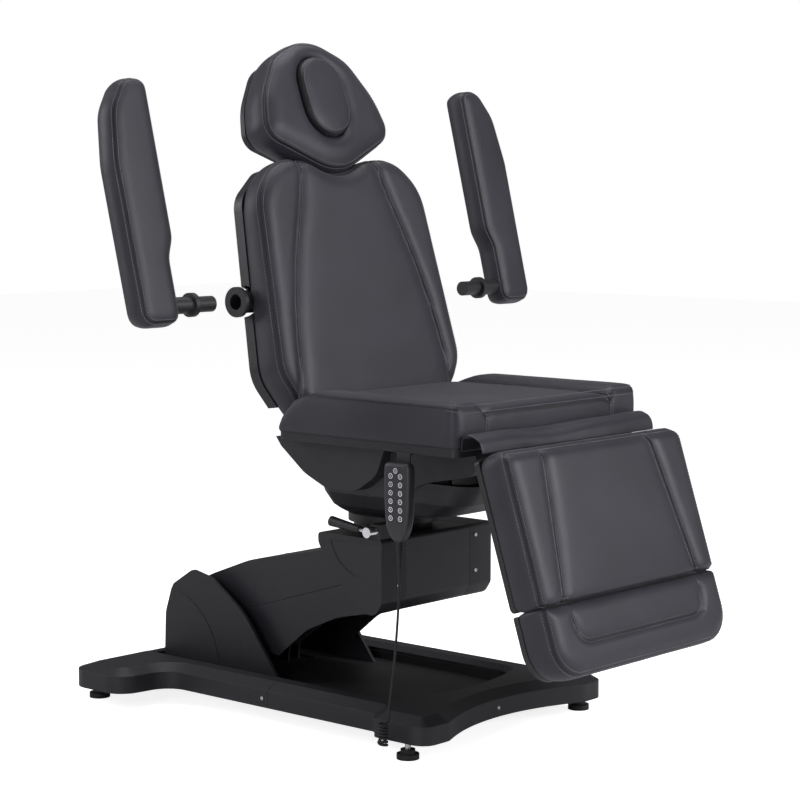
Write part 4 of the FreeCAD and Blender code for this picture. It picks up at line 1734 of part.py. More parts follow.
def build():
    """Every sub-part by the name of its node."""
    rear_cover, front_cover = base_covers()
    upper_cover, lower_cover = arm_covers()
    cap = head_cap()
    return {
        "base_chassis": base_chassis(),
        "base_cover_rear": rear_cover,
        "base_cover_front": front_cover,
        "floor_tray": floor_tray(),
        "tower_shroud": tower_shroud(),
        "levelling_pads": levelling_pads(),
        "levelling_studs": levelling_studs(),
        "base_screws": base_screws(),
        "lower_pivot_shafts": Part.Compound(pivot_shafts(PIVOT_Y, PIVOT_Z) + [actuator_pin()]),
        "control_box": control_box(),
        "lift_motor": lift_motor(),
        "lift_rod": lift_rod(),
        "lift_arm": lift_arm(),
        "arm_cover_upper": upper_cover,
        "arm_cover_lower": lower_cover,
        "parallel_link": parallel_link(),
        "head_frame": head_frame(),
        "head_cover": head_cover(),
        "head_cap_right": cap,
        "head_cap_left": mirrored(cap),
        "head_screws": head_screws(),
        "upper_pivot_shafts": Part.Compound(pivot_shafts(HEAD_PIVOT_Y, HEAD_PIVOT_Z)),
        "turntable_base": turntable_base(),
        "lock_stem": lock_stem(),
        "lock_grip": lock_grip(),
        "turntable_top": turntable_top(),
        "tilt_cradle": tilt_cradle(),
        "tilt_bowl": tilt_bowl(),
        "tilt_shaft": tilt_shaft(),
        "turntable_bolts": turntable_bolts(),
        "seat_frame": seat_frame(),
        "seat_hinge_shafts": seat_hinge_shafts(),
        "seat_skirt": seat_skirt(),
        "seat_board": seat_board(),
        "seat_cushion": seat_cushion(),
        "seat_apron": seat_apron(),
        "handset_hook": handset_hook(),
        "back_frame": back_frame(),
        "back_shell": back_shell(),
        "back_cushion": back_cushion(),
        "arm_sockets": arm_sockets(),
        "headrest_bar": headrest_bar(),
        "headrest_pan": headrest_pan(),
        "headrest_cushion": headrest_cushion(),
        "headrest_plug": headrest_plug(),
        "arm_pin_right": mirrored(arm_pin(DRAWN_RIGHT)),
        "arm_pad_right": mirrored(arm_pad(DRAWN_RIGHT)),
        "arm_pin_left": arm_pin(DRAWN_LEFT),
        "arm_pad_left": arm_pad(DRAWN_LEFT),
        "legrest_pan": legrest_pan(),
        "legrest_cushion": leg_cushion(),
        "footrest_pan": footrest_pan(),
        "footrest_cushion": footrest_cushion(),
        "footrest_buffers": footrest_buffers(),
        "handset_shell": handset_shell(),
        "handset_keypad": handset_keypad(),
        "cord_strain_relief": cord_strain_relief(),
        "handset_cord": handset_cord(),
        "cord_curls": cord_curls(),
        "cord_tail": cord_tail(),
    }


CORD_NODES = ("cord_strain_relief", "handset_cord", "cord_curls", "cord_tail")


def main():
    shapes = build()
    box = FreeCAD.BoundBox()
    for name, shape in shapes.items():
        if name not in CORD_NODES:
            box.add(shape.optimalBoundingBox(False, False))
    shift = vec(-box.Center.x, -box.Center.y, 0)
    print("shift", round(shift.x, 4), round(shift.y, 4), "size", box.XLength, box.YLength, box.ZLength, "low", box.ZMin)
    os.makedirs("parts", exist_ok=True)
    for name, shape in shapes.items():
        placed = shape.copy()
        placed.translate(shift)
        if not placed.isValid():
            print("not valid", name)
        print(name, len(placed.Solids), round(placed.Volume / 1000, 1))
        placed.exportStep("parts/" + name + ".step")


main()
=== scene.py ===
import json
import math

import bmesh
import bpy
import numpy as np
from bpy.props import FloatProperty, FloatVectorProperty, IntProperty, PointerProperty
from mathutils import Matrix, Vector, noise


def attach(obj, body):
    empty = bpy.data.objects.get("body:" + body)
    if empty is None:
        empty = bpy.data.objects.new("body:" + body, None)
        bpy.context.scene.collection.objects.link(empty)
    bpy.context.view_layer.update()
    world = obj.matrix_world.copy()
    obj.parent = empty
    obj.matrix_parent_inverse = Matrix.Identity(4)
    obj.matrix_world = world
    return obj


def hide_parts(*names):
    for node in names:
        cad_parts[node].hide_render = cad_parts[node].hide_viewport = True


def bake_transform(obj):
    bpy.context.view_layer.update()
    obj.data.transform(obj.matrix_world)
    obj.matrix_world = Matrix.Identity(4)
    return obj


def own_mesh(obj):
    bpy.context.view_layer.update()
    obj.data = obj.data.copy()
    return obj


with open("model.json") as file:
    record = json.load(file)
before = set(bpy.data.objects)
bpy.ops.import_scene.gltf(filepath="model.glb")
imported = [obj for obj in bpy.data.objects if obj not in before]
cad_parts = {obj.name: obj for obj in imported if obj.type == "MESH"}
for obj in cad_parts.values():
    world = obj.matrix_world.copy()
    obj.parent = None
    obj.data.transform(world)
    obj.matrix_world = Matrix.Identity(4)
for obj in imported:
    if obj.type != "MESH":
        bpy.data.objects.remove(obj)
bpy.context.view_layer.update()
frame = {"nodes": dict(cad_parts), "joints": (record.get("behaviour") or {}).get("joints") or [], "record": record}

bl_info = {
    "name": "Treatment chair dressing",
    "version": (1, 0, 0),
    "blender": (4, 5, 0),
    "location": "View3D > Sidebar > Chair",
    "description": "Upholstery, finishes, fasteners, cord and stage for the treatment chair",
    "category": "Object",
}

SWIVEL = next(joint for joint in frame["joints"] if joint["name"] == "swivel")["pos_m"]
BODY_OF = {node: body for body, nodes in frame["record"]["behaviour"]["bodies"].items() for node in nodes}
SLOT_OF = {entry["node"]: entry["material_slot"] for entry in frame["record"]["subparts"]}
REPLACED = {
    "seat_cushion", "back_cushion", "headrest_cushion", "headrest_plug", "arm_pad_right", "arm_pad_left",
    "legrest_cushion", "footrest_cushion", "seat_apron", "handset_cord", "cord_curls", "cord_tail",
    "handset_shell", "handset_keypad", "cord_strain_relief", "head_screws", "base_screws",
}
UNIT = 0.001


# Places and outlines, in millimetres from the swivel axis

def mm(x, y, z):
    """A point as a place in the model, in metres."""
    return Vector((x * UNIT + SWIVEL[0], y * UNIT + SWIVEL[1], z * UNIT))


def leaning(y, z, degrees):
    """A frame at a place in the middle plane, leant back by some degrees."""
    return Matrix.Translation((0, y, z)) @ Matrix.Rotation(-math.radians(degrees), 4, "X")


BACK_TILT, HEADREST_LEAN, LEG_TILT = 14, 6, 18.3
BACK_HINGE, LEG_HINGE, ARM_PIN = (90, 640), (-447, 604), (169.87, 898.35)
HEADREST_FOOT = (0, -76, 549)

BACK = leaning(*BACK_HINGE, BACK_TILT)
HEADREST = BACK @ Matrix.Translation(HEADREST_FOOT) @ leaning(0, 0, HEADREST_LEAN)
LEG = leaning(*LEG_HINGE, LEG_TILT)
SEAT = leaning(0, 0, 90)
ARM = leaning(*ARM_PIN, BACK_TILT)


def unit(a, b):
    """A direction in the plane, as a pair of length 1."""
    length = math.hypot(a, b)
    return a / length, b / length


def turn_at(points, index):
    """Directions into and out of a corner of an outline, and the angle between them."""
    a, b, radius = points[index]
    before = points[index - 1]
    after = points[(index + 1) % len(points)]
    into = unit(a - before[0], b - before[1])
    out = unit(after[0] - a, after[1] - b)
    turn = math.atan2(into[0] * out[1] - into[1] * out[0], into[0] * out[0] + into[1] * out[1])
    return into, out, turn


def rounded(points, step=3.0):
    """Closed outline as an array of points, with an arc at each corner that has a radius."""
    result = []
    for index, (a, b, radius) in enumerate(points):
        into, out, turn = turn_at(points, index)
        if radius <= 0 or abs(turn) < 1e-6:
            result.append((a, b))
            continue
        reach = radius * math.tan(abs(turn) / 2)
        start = (a - into[0] * reach, b - into[1] * reach)
        side = math.copysign(1, turn)
        centre = (start[0] - into[1] * radius * side, start[1] + into[0] * radius * side)
        first = math.atan2(start[1] - centre[1], start[0] - centre[0])
        count = max(3, int(abs(turn) * radius / step))
        for k in range(count + 1):
            angle = first + turn * k / count
            result.append((centre[0] + radius * math.cos(angle), centre[1] + radius * math.sin(angle)))
    return np.array(result)


def inset(points, distance):
    """Move every run of an outline inwards; corners keep their centres."""
    area = sum(p[0] * q[1] - q[0] * p[1] for p, q in zip(points, points[1:] + points[:1]))
    side = math.copysign(1, area)
    result = []
    for index, (a, b, radius) in enumerate(points):
        into, out, turn = turn_at(points, index)
        normal_in = (-into[1] * side, into[0] * side)
        normal_out = (-out[1] * side, out[0] * side)
        share = distance / (1 + normal_in[0] * normal_out[0] + normal_in[1] * normal_out[1])
        if radius > 0:
            radius = max(radius - distance * math.copysign(1, turn * side), radius * 0.1)
        moved = (a + (normal_in[0] + normal_out[0]) * share, b + (normal_in[1] + normal_out[1]) * share)
        result.append((moved[0], moved[1], radius))
    return result


def mirrored(points):
    return points + [(-a, b, radius) for a, b, radius in reversed(points) if a != 0]


def scaled(shares, origin, size):
    smaller = min(abs(size[0]), abs(size[1]))
    return [(origin[0] + a * size[0], origin[1] + b * size[1], radius * smaller) for a, b, radius in shares]


def looped(line):
    """A line that comes back to its first point."""
    return np.vstack([line, line[:1]])


def resampled(line, count):
    """A polyline at count + 1 even steps."""
    line = np.asarray(line, float)
    lengths = np.concatenate([[0], np.cumsum(np.linalg.norm(np.diff(line, axis=0), axis=1))])
    spots = np.linspace(0, lengths[-1], count + 1)
    return np.stack([np.interp(spots, lengths, line[:, axis]) for axis in range(line.shape[1])], axis=1)


def ring_of(points, count, start):
    """A closed outline at even steps, beginning at its point nearest to start."""
    outline = rounded(points)
    first = int(np.argmin(np.linalg.norm(outline - np.array(start), axis=1)))
    line = np.roll(outline, -first, axis=0)
    return resampled(looped(line), count)[:-1]


def four_sides(outline, corners):
    """Cut a closed outline at its points nearest to four corners: bottom, right, top and left runs."""
    spots = [int(np.argmin(np.linalg.norm(outline - np.array(corner), axis=1))) for corner in corners]
    runs = []
    for first, last in zip(spots, spots[1:] + spots[:1]):
        count = (last - first) % len(outline)
        runs.append(resampled([outline[(first + k) % len(outline)] for k in range(count + 1)], 240))
    bottom, right, top, left = runs
    return bottom, right, top[::-1], left[::-1]


def along(run, share):
    """Points of a run at shares of its length."""
    spots = np.linspace(0, 1, len(run))
    return np.stack([np.interp(share, spots, run[:, 0]), np.interp(share, spots, run[:, 1])], axis=-1)


def patch(sides, u, v):
    """Points of the patch between four runs, at arrays of shares across and up."""
    bottom, right, top, left = sides
    across = u[..., None]
    up = v[..., None]
    ruled = (1 - up) * along(bottom, u) + up * along(top, u)
    ruled += (1 - across) * along(left, v) + across * along(right, v)
    low = (1 - across) * bottom[0] + across * bottom[-1]
    high = (1 - across) * top[0] + across * top[-1]
    return ruled - (1 - up) * low - up * high


def distance_to(points, line, closed=True):
    """Distance of each 2-D point from a polyline."""
    line = np.asarray(line, float)
    ends = np.roll(line, -1, axis=0) if closed else line[1:]
    starts = line if closed else line[:-1]
    flat = np.asarray(points, float).reshape(-1, 2)
    best = np.full(len(flat), 1e9)
    for start, end in zip(starts, ends):
        run = end - start
        square = max(float(run @ run), 1e-12)
        share = np.clip(((flat - start) @ run) / square, 0, 1)
        best = np.minimum(best, np.linalg.norm(flat - start - share[:, None] * run, axis=1))
    return best.reshape(np.asarray(points).shape[:-1])


def placed(frame_matrix, points):
    """Millimetre points of a tilted frame as places in the model."""
    rotation = np.array(frame_matrix)[:3, :3]
    offset = np.array(frame_matrix)[:3, 3]
    moved = np.asarray(points, float) @ rotation.T + offset
    return moved * UNIT + np.array([SWIVEL[0], SWIVEL[1], 0])


def on_frame(frame_matrix, flat, heights):
    """Places of plane points raised by their heights over a tilted frame's plane."""
    flat = np.asarray(flat, float)
    return placed(frame_matrix, np.stack([flat[:, 0], -np.asarray(heights), flat[:, 1]], axis=1))


# Meshes

def linked(name, data):
    """A new object in the scene."""
    piece = bpy.data.objects.new(name, data)
    bpy.context.scene.collection.objects.link(piece)
    return piece


def made(name, vertices, faces, material):
    mesh = bpy.data.meshes.new(name)
    mesh.from_pydata([tuple(v) for v in vertices], [], faces)
    mesh.update()
    piece = linked(name, mesh)
    mesh.shade_smooth()
    mesh.materials.append(material)
    return piece


def outward(piece, cap=None):
    """Turn every face outwards, once the caps that cap(work) adds are in place."""
    work = bmesh.new()
    work.from_mesh(piece.data)
    if cap:
        work.verts.ensure_lookup_table()
        cap(work)
    bmesh.ops.recalc_face_normals(work, faces=work.faces)
    work.to_mesh(piece.data)
    work.free()
    if cap:
        piece.data.shade_smooth()


def end_caps(count, fan):
    """Caps over the first and last rings of a tube: flat, or a fan round a middle point."""
    def cap(work):
        rings = [[work.verts[first + k] for k in range(count)] for first in (0, len(work.verts) - count)]
        for ring in rings:
            if not fan:
                work.faces.new(ring)
                continue
            middle = work.verts.new(sum((v.co for v in ring), Vector()) / count)
            for k in range(count):
                work.faces.new((ring[k], ring[(k + 1) % count], middle))
    return cap


def applied(piece):
    """Make the piece's modifiers part of its mesh."""
    depsgraph = bpy.context.evaluated_depsgraph_get()
    mesh = bpy.data.meshes.new_from_object(piece.evaluated_get(depsgraph), depsgraph=depsgraph)
    piece.modifiers.clear()
    piece.data = mesh
    return piece


def creased(piece, sharpness=0.75):
    """Keep the sewn edges of a cushion crisp when it is subdivided."""
    mesh = piece.data
    gap = np.empty(len(mesh.vertices), np.float32)
    mesh.attributes["seam"].data.foreach_get("value", gap)
    ends = np.empty(len(mesh.edges) * 2, np.int32)
    mesh.edges.foreach_get("vertices", ends)
    sewn = np.all(gap[ends.reshape(-1, 2)] < 1e-5, axis=1)
    crease = mesh.attributes.new("crease_edge", "FLOAT", "EDGE")
    crease.data.foreach_set("value", sewn.astype(np.float32) * sharpness)


def subdivided(piece, levels=1):
    if "seam" in piece.data.attributes:
        creased(piece)
    modifier = piece.modifiers.new("fine", "SUBSURF")
    modifier.levels = levels
    modifier.render_levels = levels
    return applied(piece)


def dressed(piece, body, nodes=()):
    """Hide the CAD parts that a piece stands in for, and put the piece on the body it rides on."""
    if nodes:
        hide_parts(*nodes)
    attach(piece, body)
    return piece


def grid_faces(rows, columns, offset=0, closed=False):
    faces = []
    for j in range(rows - 1):
        for i in range(columns if closed else columns - 1):
            a = offset + j * columns + i
            b = offset + j * columns + (i + 1) % columns
            faces.append((a, b, b + columns, a + columns))
    return faces


def tube(name, rings, material, ends="joined"):
    """Mesh through rings of equal length; its ends are joined to each other, or closed by flat or fan caps."""
    count = len(rings[0])
    faces = grid_faces(len(rings), count, closed=True)
    if ends == "joined":
        last = (len(rings) - 1) * count
        faces += [(last + i, last + (i + 1) % count, (i + 1) % count, i) for i in range(count)]
    piece = made(name, np.concatenate(rings), faces, material)
    outward(piece, None if ends == "joined" else end_caps(count, ends == "fan"))
    return piece


def border(rows, columns):
    """Indices round the edge of a grid, from its first corner."""
    loop = list(range(columns))
    loop += [j * columns + columns - 1 for j in range(1, rows)]
    loop += [(rows - 1) * columns + i for i in range(columns - 2, -1, -1)]
    loop += [j * columns for j in range(rows - 2, 0, -1)]
    return loop


def rise(distance, width, power=2.2):
    """Share of its full height that a stuffed edge has reached at a distance from its seam."""
    return 1 - (1 - np.clip(distance / width, 0, 1)) ** power


def spaced(length, gap, fine=(0, 2, 5, 9, 15, 23, 32)):
    """Places along a length, close together at both ends and about a gap apart between."""
    ends = [value for value in fine if value < length * 0.35]
    count = max(2, int((length - 2 * ends[-1]) / gap))
    middle = list(np.linspace(ends[-1], length - ends[-1], count + 1))
    return np.array(ends[:-1] + middle + [length - value for value in reversed(ends[:-1])])


def seamed(half, seams, gap):
    """Places from -half to half, close together at the edges and at every seam."""
    stops = [-half] + sorted(seams) + [half]
    runs = [low + spaced(high - low, gap) for low, high in zip(stops, stops[1:])]
    return np.concatenate([runs[0]] + [run[1:] for run in runs[1:]])


# Cushions

SEAM_PINCH, PINCH_RATE = 1.2, 40
CLOTH_FRAMES = 20
CLOTH = {
    "quality": 6, "mass": 0.25, "tension_stiffness": 40, "compression_stiffness": 40, "shear_stiffness": 20,
    "bending_stiffness": 2.0, "use_pressure": True, "uniform_pressure_force": 4.0, "shrink_min": -0.006,
    "vertex_group_mass": "held", "pin_stiffness": 20,
}


class Pad:
    """A stuffed pad: leather over a frame's plane, a boxing wall round it, and a rear panel."""

    def __init__(self, name, points, corners, rows, columns, frame_matrix):
        self.name = name
        self.points = points
        self.outline = rounded(points)
        self.frame = frame_matrix
        sides = four_sides(self.outline, corners)
        v = np.repeat(np.asarray(rows)[:, None], len(columns(0.5)), axis=1)
        u = np.array([columns(share) for share in rows])
        self.shape = u.shape
        self.flat = patch(sides, u, v).reshape(-1, 2)
        self.loop = border(*self.shape)
        self.gap = distance_to(self.flat, self.outline)
        self.gap[self.loop] = 0
        self.seams = []
        self.bulge = 3.0
        self.wall_levels = (0.03, 0.09, 0.18, 0.32, 0.5, 0.68, 0.82, 0.91, 0.97)

    def rear(self, flat, gap):
        return np.full(len(flat), self.REAR)

    def wall_out(self, share):
        """How far the wall stands out, at a share of the way from its front seam to its rear seam."""
        swell = self.bulge * (1 - (2 * share - 1) ** 2)
        return swell - SEAM_PINCH * (math.exp(-share * PINCH_RATE) + math.exp(-(1 - share) * PINCH_RATE))

    def at(self, flat, lift=0.0):
        """Places on the front, some way over the leather."""
        flat = np.asarray(flat, float)
        return on_frame(self.frame, flat, self.front(flat, distance_to(flat, self.outline)) + lift)

    def build(self, material):
        rows, columns = self.shape
        flat, loop = self.flat, self.loop
        edge = flat[loop]
        out = wall_normals(edge)
        top = self.front(flat, self.gap)
        low = self.rear(flat, self.gap)
        seam = self.gap.copy()
        for line in self.seams:
            seam = np.minimum(seam, distance_to(flat, line, closed=False))
        places = [on_frame(self.frame, flat, top)]
        gaps = [seam]
        faces = grid_faces(rows, columns)
        ring, count, total = loop, len(loop), len(flat)
        for share in self.wall_levels:
            height = top[loop] + (low[loop] - top[loop]) * share
            places.append(on_frame(self.frame, edge + out * self.wall_out(share), height))
            depth = np.abs(top[loop] - low[loop])
            gaps.append(np.minimum(depth * share, depth * (1 - share)))
            new = list(range(total, total + count))
            faces += [(ring[k], new[k], new[(k + 1) % count], ring[(k + 1) % count]) for k in range(count)]
            ring, total = new, total + count
        rear_ring = [total + index for index in loop]
        faces += [(ring[k], rear_ring[k], rear_ring[(k + 1) % count], ring[(k + 1) % count]) for k in range(count)]
        faces += [face[::-1] for face in grid_faces(rows, columns, total)]
        places.append(on_frame(self.frame, flat, low))
        gaps.append(self.gap)
        piece = made(self.name, np.concatenate(places), faces, material)
        self.seam_gap = np.concatenate(gaps)
        self.front_count = len(flat)
        outward(piece)
        return piece


def with_seams(piece, gaps):
    """Keep the distance to the nearest seam, in metres, at each vertex for the leather to read."""
    attribute = piece.data.attributes.new("seam", "FLOAT", "POINT")
    attribute.data.foreach_set("value", np.asarray(gaps, np.float32) * UNIT)


def evened(mesh, move, free, rounds=14):
    """Average the moves of neighbouring vertices, so that the stuffing swells without creases."""
    ends = np.empty(len(mesh.edges) * 2, np.int32)
    mesh.edges.foreach_get("vertices", ends)
    a, b = ends.reshape(-1, 2).T
    count = np.bincount(ends, minlength=len(move))[:, None]
    for _ in range(rounds):
        total = np.zeros_like(move)
        np.add.at(total, a, move[b])
        np.add.at(total, b, move[a])
        move = (move * 0.3 + total / np.maximum(count, 1) * 0.7) * (free > 0)[:, None]
    return move


def inflated(piece, free, cap):
    """Swell the leather by a short cloth simulation; free is how far each vertex may move, from 0 to 1."""
    held = piece.vertex_groups.new(name="held")
    for index, share in enumerate(free):
        held.add([index], 1 - float(share), "REPLACE")
    cloth = piece.modifiers.new("stuffing", "CLOTH")
    for name, value in CLOTH.items():
        setattr(cloth.settings, name, value)
    cloth.settings.effector_weights.gravity = 0
    cloth.collision_settings.use_collision = False
    cloth.point_cache.frame_start = 1
    cloth.point_cache.frame_end = CLOTH_FRAMES
    before = np.array([v.co for v in piece.data.vertices])
    for step in range(1, CLOTH_FRAMES + 1):
        bpy.context.scene.frame_set(step)
    depsgraph = bpy.context.evaluated_depsgraph_get()
    after = np.array([v.co for v in piece.evaluated_get(depsgraph).data.vertices])
    piece.modifiers.clear()
    piece.vertex_groups.clear()
    bpy.context.scene.frame_set(1)
    move = evened(piece.data, after - before, np.asarray(free))
    length = np.maximum(np.linalg.norm(move, axis=1), 1e-9)
    limit = cap * UNIT * np.asarray(free)
    move *= (limit * np.tanh(length / np.maximum(limit, 1e-9)) / length)[:, None]
    piece.data.vertices.foreach_set("co", (before + move).astype(np.float32).ravel())
    piece.data.update()
    return piece


def rumpled(piece, gaps, depth, seed, reach=22.0):
    """Soft dents and puckers in the leather, stronger near the seams."""
    mesh = piece.data
    move = []
    for vertex, gap in zip(mesh.vertices, gaps):
        spot = vertex.co
        broad = noise.noise(spot * 11 + Vector((seed, 0, 0)))
        pucker = noise.noise(spot * 48 + Vector((0, seed, 0))) * math.exp(-gap / reach) * min(1.0, gap / 3)
        move.append(vertex.normal * (broad * 0.6 + pucker) * depth * UNIT * min(1.0, gap / 6))
    for vertex, shift in zip(mesh.vertices, move):
        vertex.co += shift
    mesh.update()
    return piece


# Finishes

BEVEL_SAMPLES = 4


class Amount:
    """A number on the node tree that can be calculated with."""

    def __init__(self, finish, socket):
        self.finish = finish
        self.socket = socket

    def using(self, operation, *others, clamp=False):
        settings = {"operation": operation, "use_clamp": clamp}
        return self.finish.amount("ShaderNodeMath", settings, dict(enumerate((self,) + others)))

    def __add__(self, other):
        return self.using("ADD", other)

    __radd__ = __add__

    def __mul__(self, other):
        return self.using("MULTIPLY", other)

    __rmul__ = __mul__

    def __sub__(self, other):
        return self.using("SUBTRACT", other)

    def __rsub__(self, other):
        return self.finish.amount("ShaderNodeMath", {"operation": "SUBTRACT"}, {0: other, 1: self})

    def above(self, low, high):
        """0 below low and 1 over high, with a smooth step between."""
        settings = {"interpolation_type": "SMOOTHSTEP"}
        inputs = {"Value": self, "From Min": low, "From Max": high}
        return self.finish.amount("ShaderNodeMapRange", settings, inputs)


def tinted(color, factor):
    return tuple(min(1, channel * factor) for channel in color)


def fed(tree, value, socket):
    """Give an input socket another socket, an amount, a colour or a plain value."""
    if isinstance(value, Amount):
        value = value.socket
    if isinstance(value, bpy.types.NodeSocket):
        tree.links.new(value, socket)
    elif socket.type == "RGBA" and len(value) == 3:
        socket.default_value = (*value, 1)
    else:
        socket.default_value = value


def added(tree, kind, settings=None, inputs=None):
    """A new node of a tree, with its settings and its inputs."""
    node = tree.nodes.new(kind)
    for name, value in (settings or {}).items():
        setattr(node, name, value)
    for key, value in (inputs or {}).items():
        fed(tree, value, node.inputs[key])
    return node


class Finish:
    """A material whose surface is built up from nodes."""

    def __init__(self, name, metallic=0.0, specular=0.5, coat=0.0, coat_roughness=0.2, sheen=0.0):
        self.material = bpy.data.materials.new(name)
        self.material.use_nodes = True
        self.tree = self.material.node_tree
        self.shader = self.tree.nodes["Principled BSDF"]
        levels = {"Metallic": metallic, "Specular IOR Level": specular, "Coat Weight": coat,
                  "Coat Roughness": coat_roughness, "Sheen Weight": sheen, "Sheen Roughness": 0.45}
        for label, level in levels.items():
            self.shader.inputs[label].default_value = level
        self.place = self.node("ShaderNodeTexCoord", {}, {}).outputs["Object"]

    def node(self, kind, settings, inputs):
        return added(self.tree, kind, settings, inputs)

    def amount(self, kind, settings, inputs, output=0):
        return Amount(self, self.node(kind, settings, inputs).outputs[output])

    def set(self, color, roughness):
        fed(self.tree, color, self.shader.inputs["Base Color"])
        fed(self.tree, roughness, self.shader.inputs["Roughness"])

    def grain(self, scale, detail=2.0, stretch=None):
        """Smooth random pattern, from 0 to 1."""
        place = self.place
        if stretch:
            place = self.node("ShaderNodeMapping", {}, {"Vector": place, "Scale": stretch}).outputs[0]
        inputs = {"Vector": place, "Scale": scale, "Detail": detail, "Roughness": 0.5}
        return self.amount("ShaderNodeTexNoise", {}, inputs)

    def cells(self, scale, feature="F1"):
        settings = {"feature": feature}
        return self.amount("ShaderNodeTexVoronoi", settings, {"Vector": self.place, "Scale": scale})

    def mixed(self, share, first, second):
        return self.node("ShaderNodeMix", {"data_type": "RGBA"}, {0: share, 6: first, 7: second}).outputs[2]

    def attribute(self, name):
        return Amount(self, self.node("ShaderNodeAttribute", {"attribute_name": name}, {}).outputs["Fac"])

    def bump(self, height, strength, distance, round_edges=0.0):
        """Relief in the surface, over edges that catch the light as if rounded."""
        inputs = {"Height": height, "Strength": strength, "Distance": distance}
        if round_edges:
            inputs["Normal"] = self.rounded_normal(round_edges)
        fed(self.tree, self.node("ShaderNodeBump", {}, inputs).outputs[0], self.shader.inputs["Normal"])

    def rounded_normal(self, radius):
        return self.node("ShaderNodeBevel", {"samples": BEVEL_SAMPLES}, {"Radius": radius}).outputs[0]

    def edge_wear(self, amount, radius=0.0012):
        """Share of wear along sharp edges, broken up by noise."""
        face = self.node("ShaderNodeNewGeometry", {}, {}).outputs["Normal"]
        inputs = {0: self.rounded_normal(radius), 1: face}
        alike = self.amount("ShaderNodeVectorMath", {"operation": "DOT_PRODUCT"}, inputs, "Value")
        return (1 - alike).above(0.004, 0.05) * self.grain(60).above(0.4, 0.62) * amount


def leather(name, color, seamed_piece=True):
    """Black leatherette: pebbled grain, soft sheen, puckers beside the seams, and painted shade along them."""
    finish = Finish(name, specular=0.4, coat=0.03, coat_roughness=0.38, sheen=0.05)
    pebbles = finish.cells(720, "DISTANCE_TO_EDGE").above(0.0, 0.22)
    fine = finish.grain(1500, 2)
    broad = finish.grain(7, 3)
    tone = broad.above(0.3, 0.72)
    skin = finish.mixed(tone, tinted(color, 0.86), tinted(color, 1.14))
    height = pebbles * 0.7 + fine * 0.3
    if seamed_piece:
        gap = finish.attribute("seam")
        # painted shade: within about 3 mm of every seam the colour goes almost black, standing in for the shade in the
        # seam groove
        seam_shade = 1 - gap.above(0.0007, 0.0034)
        skin = finish.mixed(seam_shade * 0.92, skin, tinted(color, 0.12))
        puckers = finish.grain(150, 1.5) * (1 - gap.above(0.002, 0.012))
        height = height + puckers * 1.6
    finish.set(color=skin, roughness=0.43 + broad * 0.12 - pebbles * 0.05)
    finish.bump(height, 0.22, 0.0006)
    return finish.material


def moulded(name, color, scale, depth, roughness, edge=0.0015):
    """Moulded plastic with a fine spark-eroded grain, paler where its edges are rubbed."""
    finish = Finish(name, specular=0.45)
    sparks = finish.cells(scale).above(0.05, 0.6)
    fine = finish.grain(scale * 1.3, 2)
    broad = finish.grain(5, 3)
    skin = finish.mixed(broad.above(0.3, 0.7), tinted(color, 0.92), tinted(color, 1.08))
    skin = finish.mixed(finish.edge_wear(0.3), skin, tinted(color, 2.2))
    finish.set(color=skin, roughness=roughness + fine * 0.1 - sparks * 0.05)
    finish.bump(sparks * 0.6 + fine * 0.4, depth, 0.0005, round_edges=edge)
    return finish.material


def painted(name, color):
    """Powder coat: an orange-peel skin with worn edges."""
    finish = Finish(name)
    peel = finish.grain(420, 1.5)
    skin = finish.mixed(finish.grain(9, 3).above(0.3, 0.7), color, tinted(color, 1.25))
    skin = finish.mixed(finish.edge_wear(0.35), skin, (0.16, 0.16, 0.165))
    finish.set(color=skin, roughness=0.42 + peel * 0.12)
    finish.bump(peel, 0.2, 0.0006, round_edges=0.001)
    return finish.material


def metal(name, color, roughness, turned=False):
    """Bright metal with fine tool marks and dulled spots."""
    finish = Finish(name, metallic=1.0)
    marks = finish.grain(260, 2, stretch=(1, 1, 14) if turned else None)
    dull = finish.grain(30, 3).above(0.5, 0.75)
    skin = finish.mixed(dull * 0.4, color, tinted(color, 0.72))
    finish.set(color=skin, roughness=roughness + marks * 0.12 + dull * 0.08)
    finish.bump(marks, 0.06, 0.0004)
    return finish.material


def rubbery(name, color):
    """Dull rubber or thread with a fine, uneven skin."""
    finish = Finish(name, specular=0.35)
    fine = finish.grain(1100, 2)
    skin = finish.mixed(finish.grain(24, 3).above(0.4, 0.7), color, tinted(color, 1.5))
    finish.set(color=skin, roughness=0.5 + fine * 0.16)
    finish.bump(fine, 0.22, 0.0005)
    return finish.material


# Settings a user may change

def length(name, description, default, low, high):
    return FloatProperty(name=name, description=description, default=default, min=low, max=high, unit="LENGTH")


def tint(name, description, default):
    return FloatVectorProperty(name=name, description=description, default=default, subtype="COLOR", min=0, max=1)


class ChairSizes(bpy.types.PropertyGroup):
    stitch_pitch: length("Stitch pitch", "Distance from one stitch to the next", 0.0068, 0.003, 0.02)
    stitch_length: length("Stitch length", "Visible length of one stitch", 0.0050, 0.001, 0.01)
    thread_radius: length("Thread radius", "Half the thickness of the sewing thread", 0.0007, 0.0002, 0.002)
    puff: length("Puff", "How far the stuffing may swell the leather", 0.003, 0.0, 0.02)
    crease_depth: length("Crease depth", "Depth of the soft dents in the leather", 0.0006, 0.0, 0.005)
    cord_radius: length("Cord radius", "Half the thickness of the hand control's cord", 0.0025, 0.001, 0.005)
    curl_turns: IntProperty(name="Curls", description="Turns in the curly part of the cord",
                            default=7, min=3, max=12)
    key_pitch: length("Key pitch", "Distance between rows of keys", 0.0168, 0.01, 0.02)


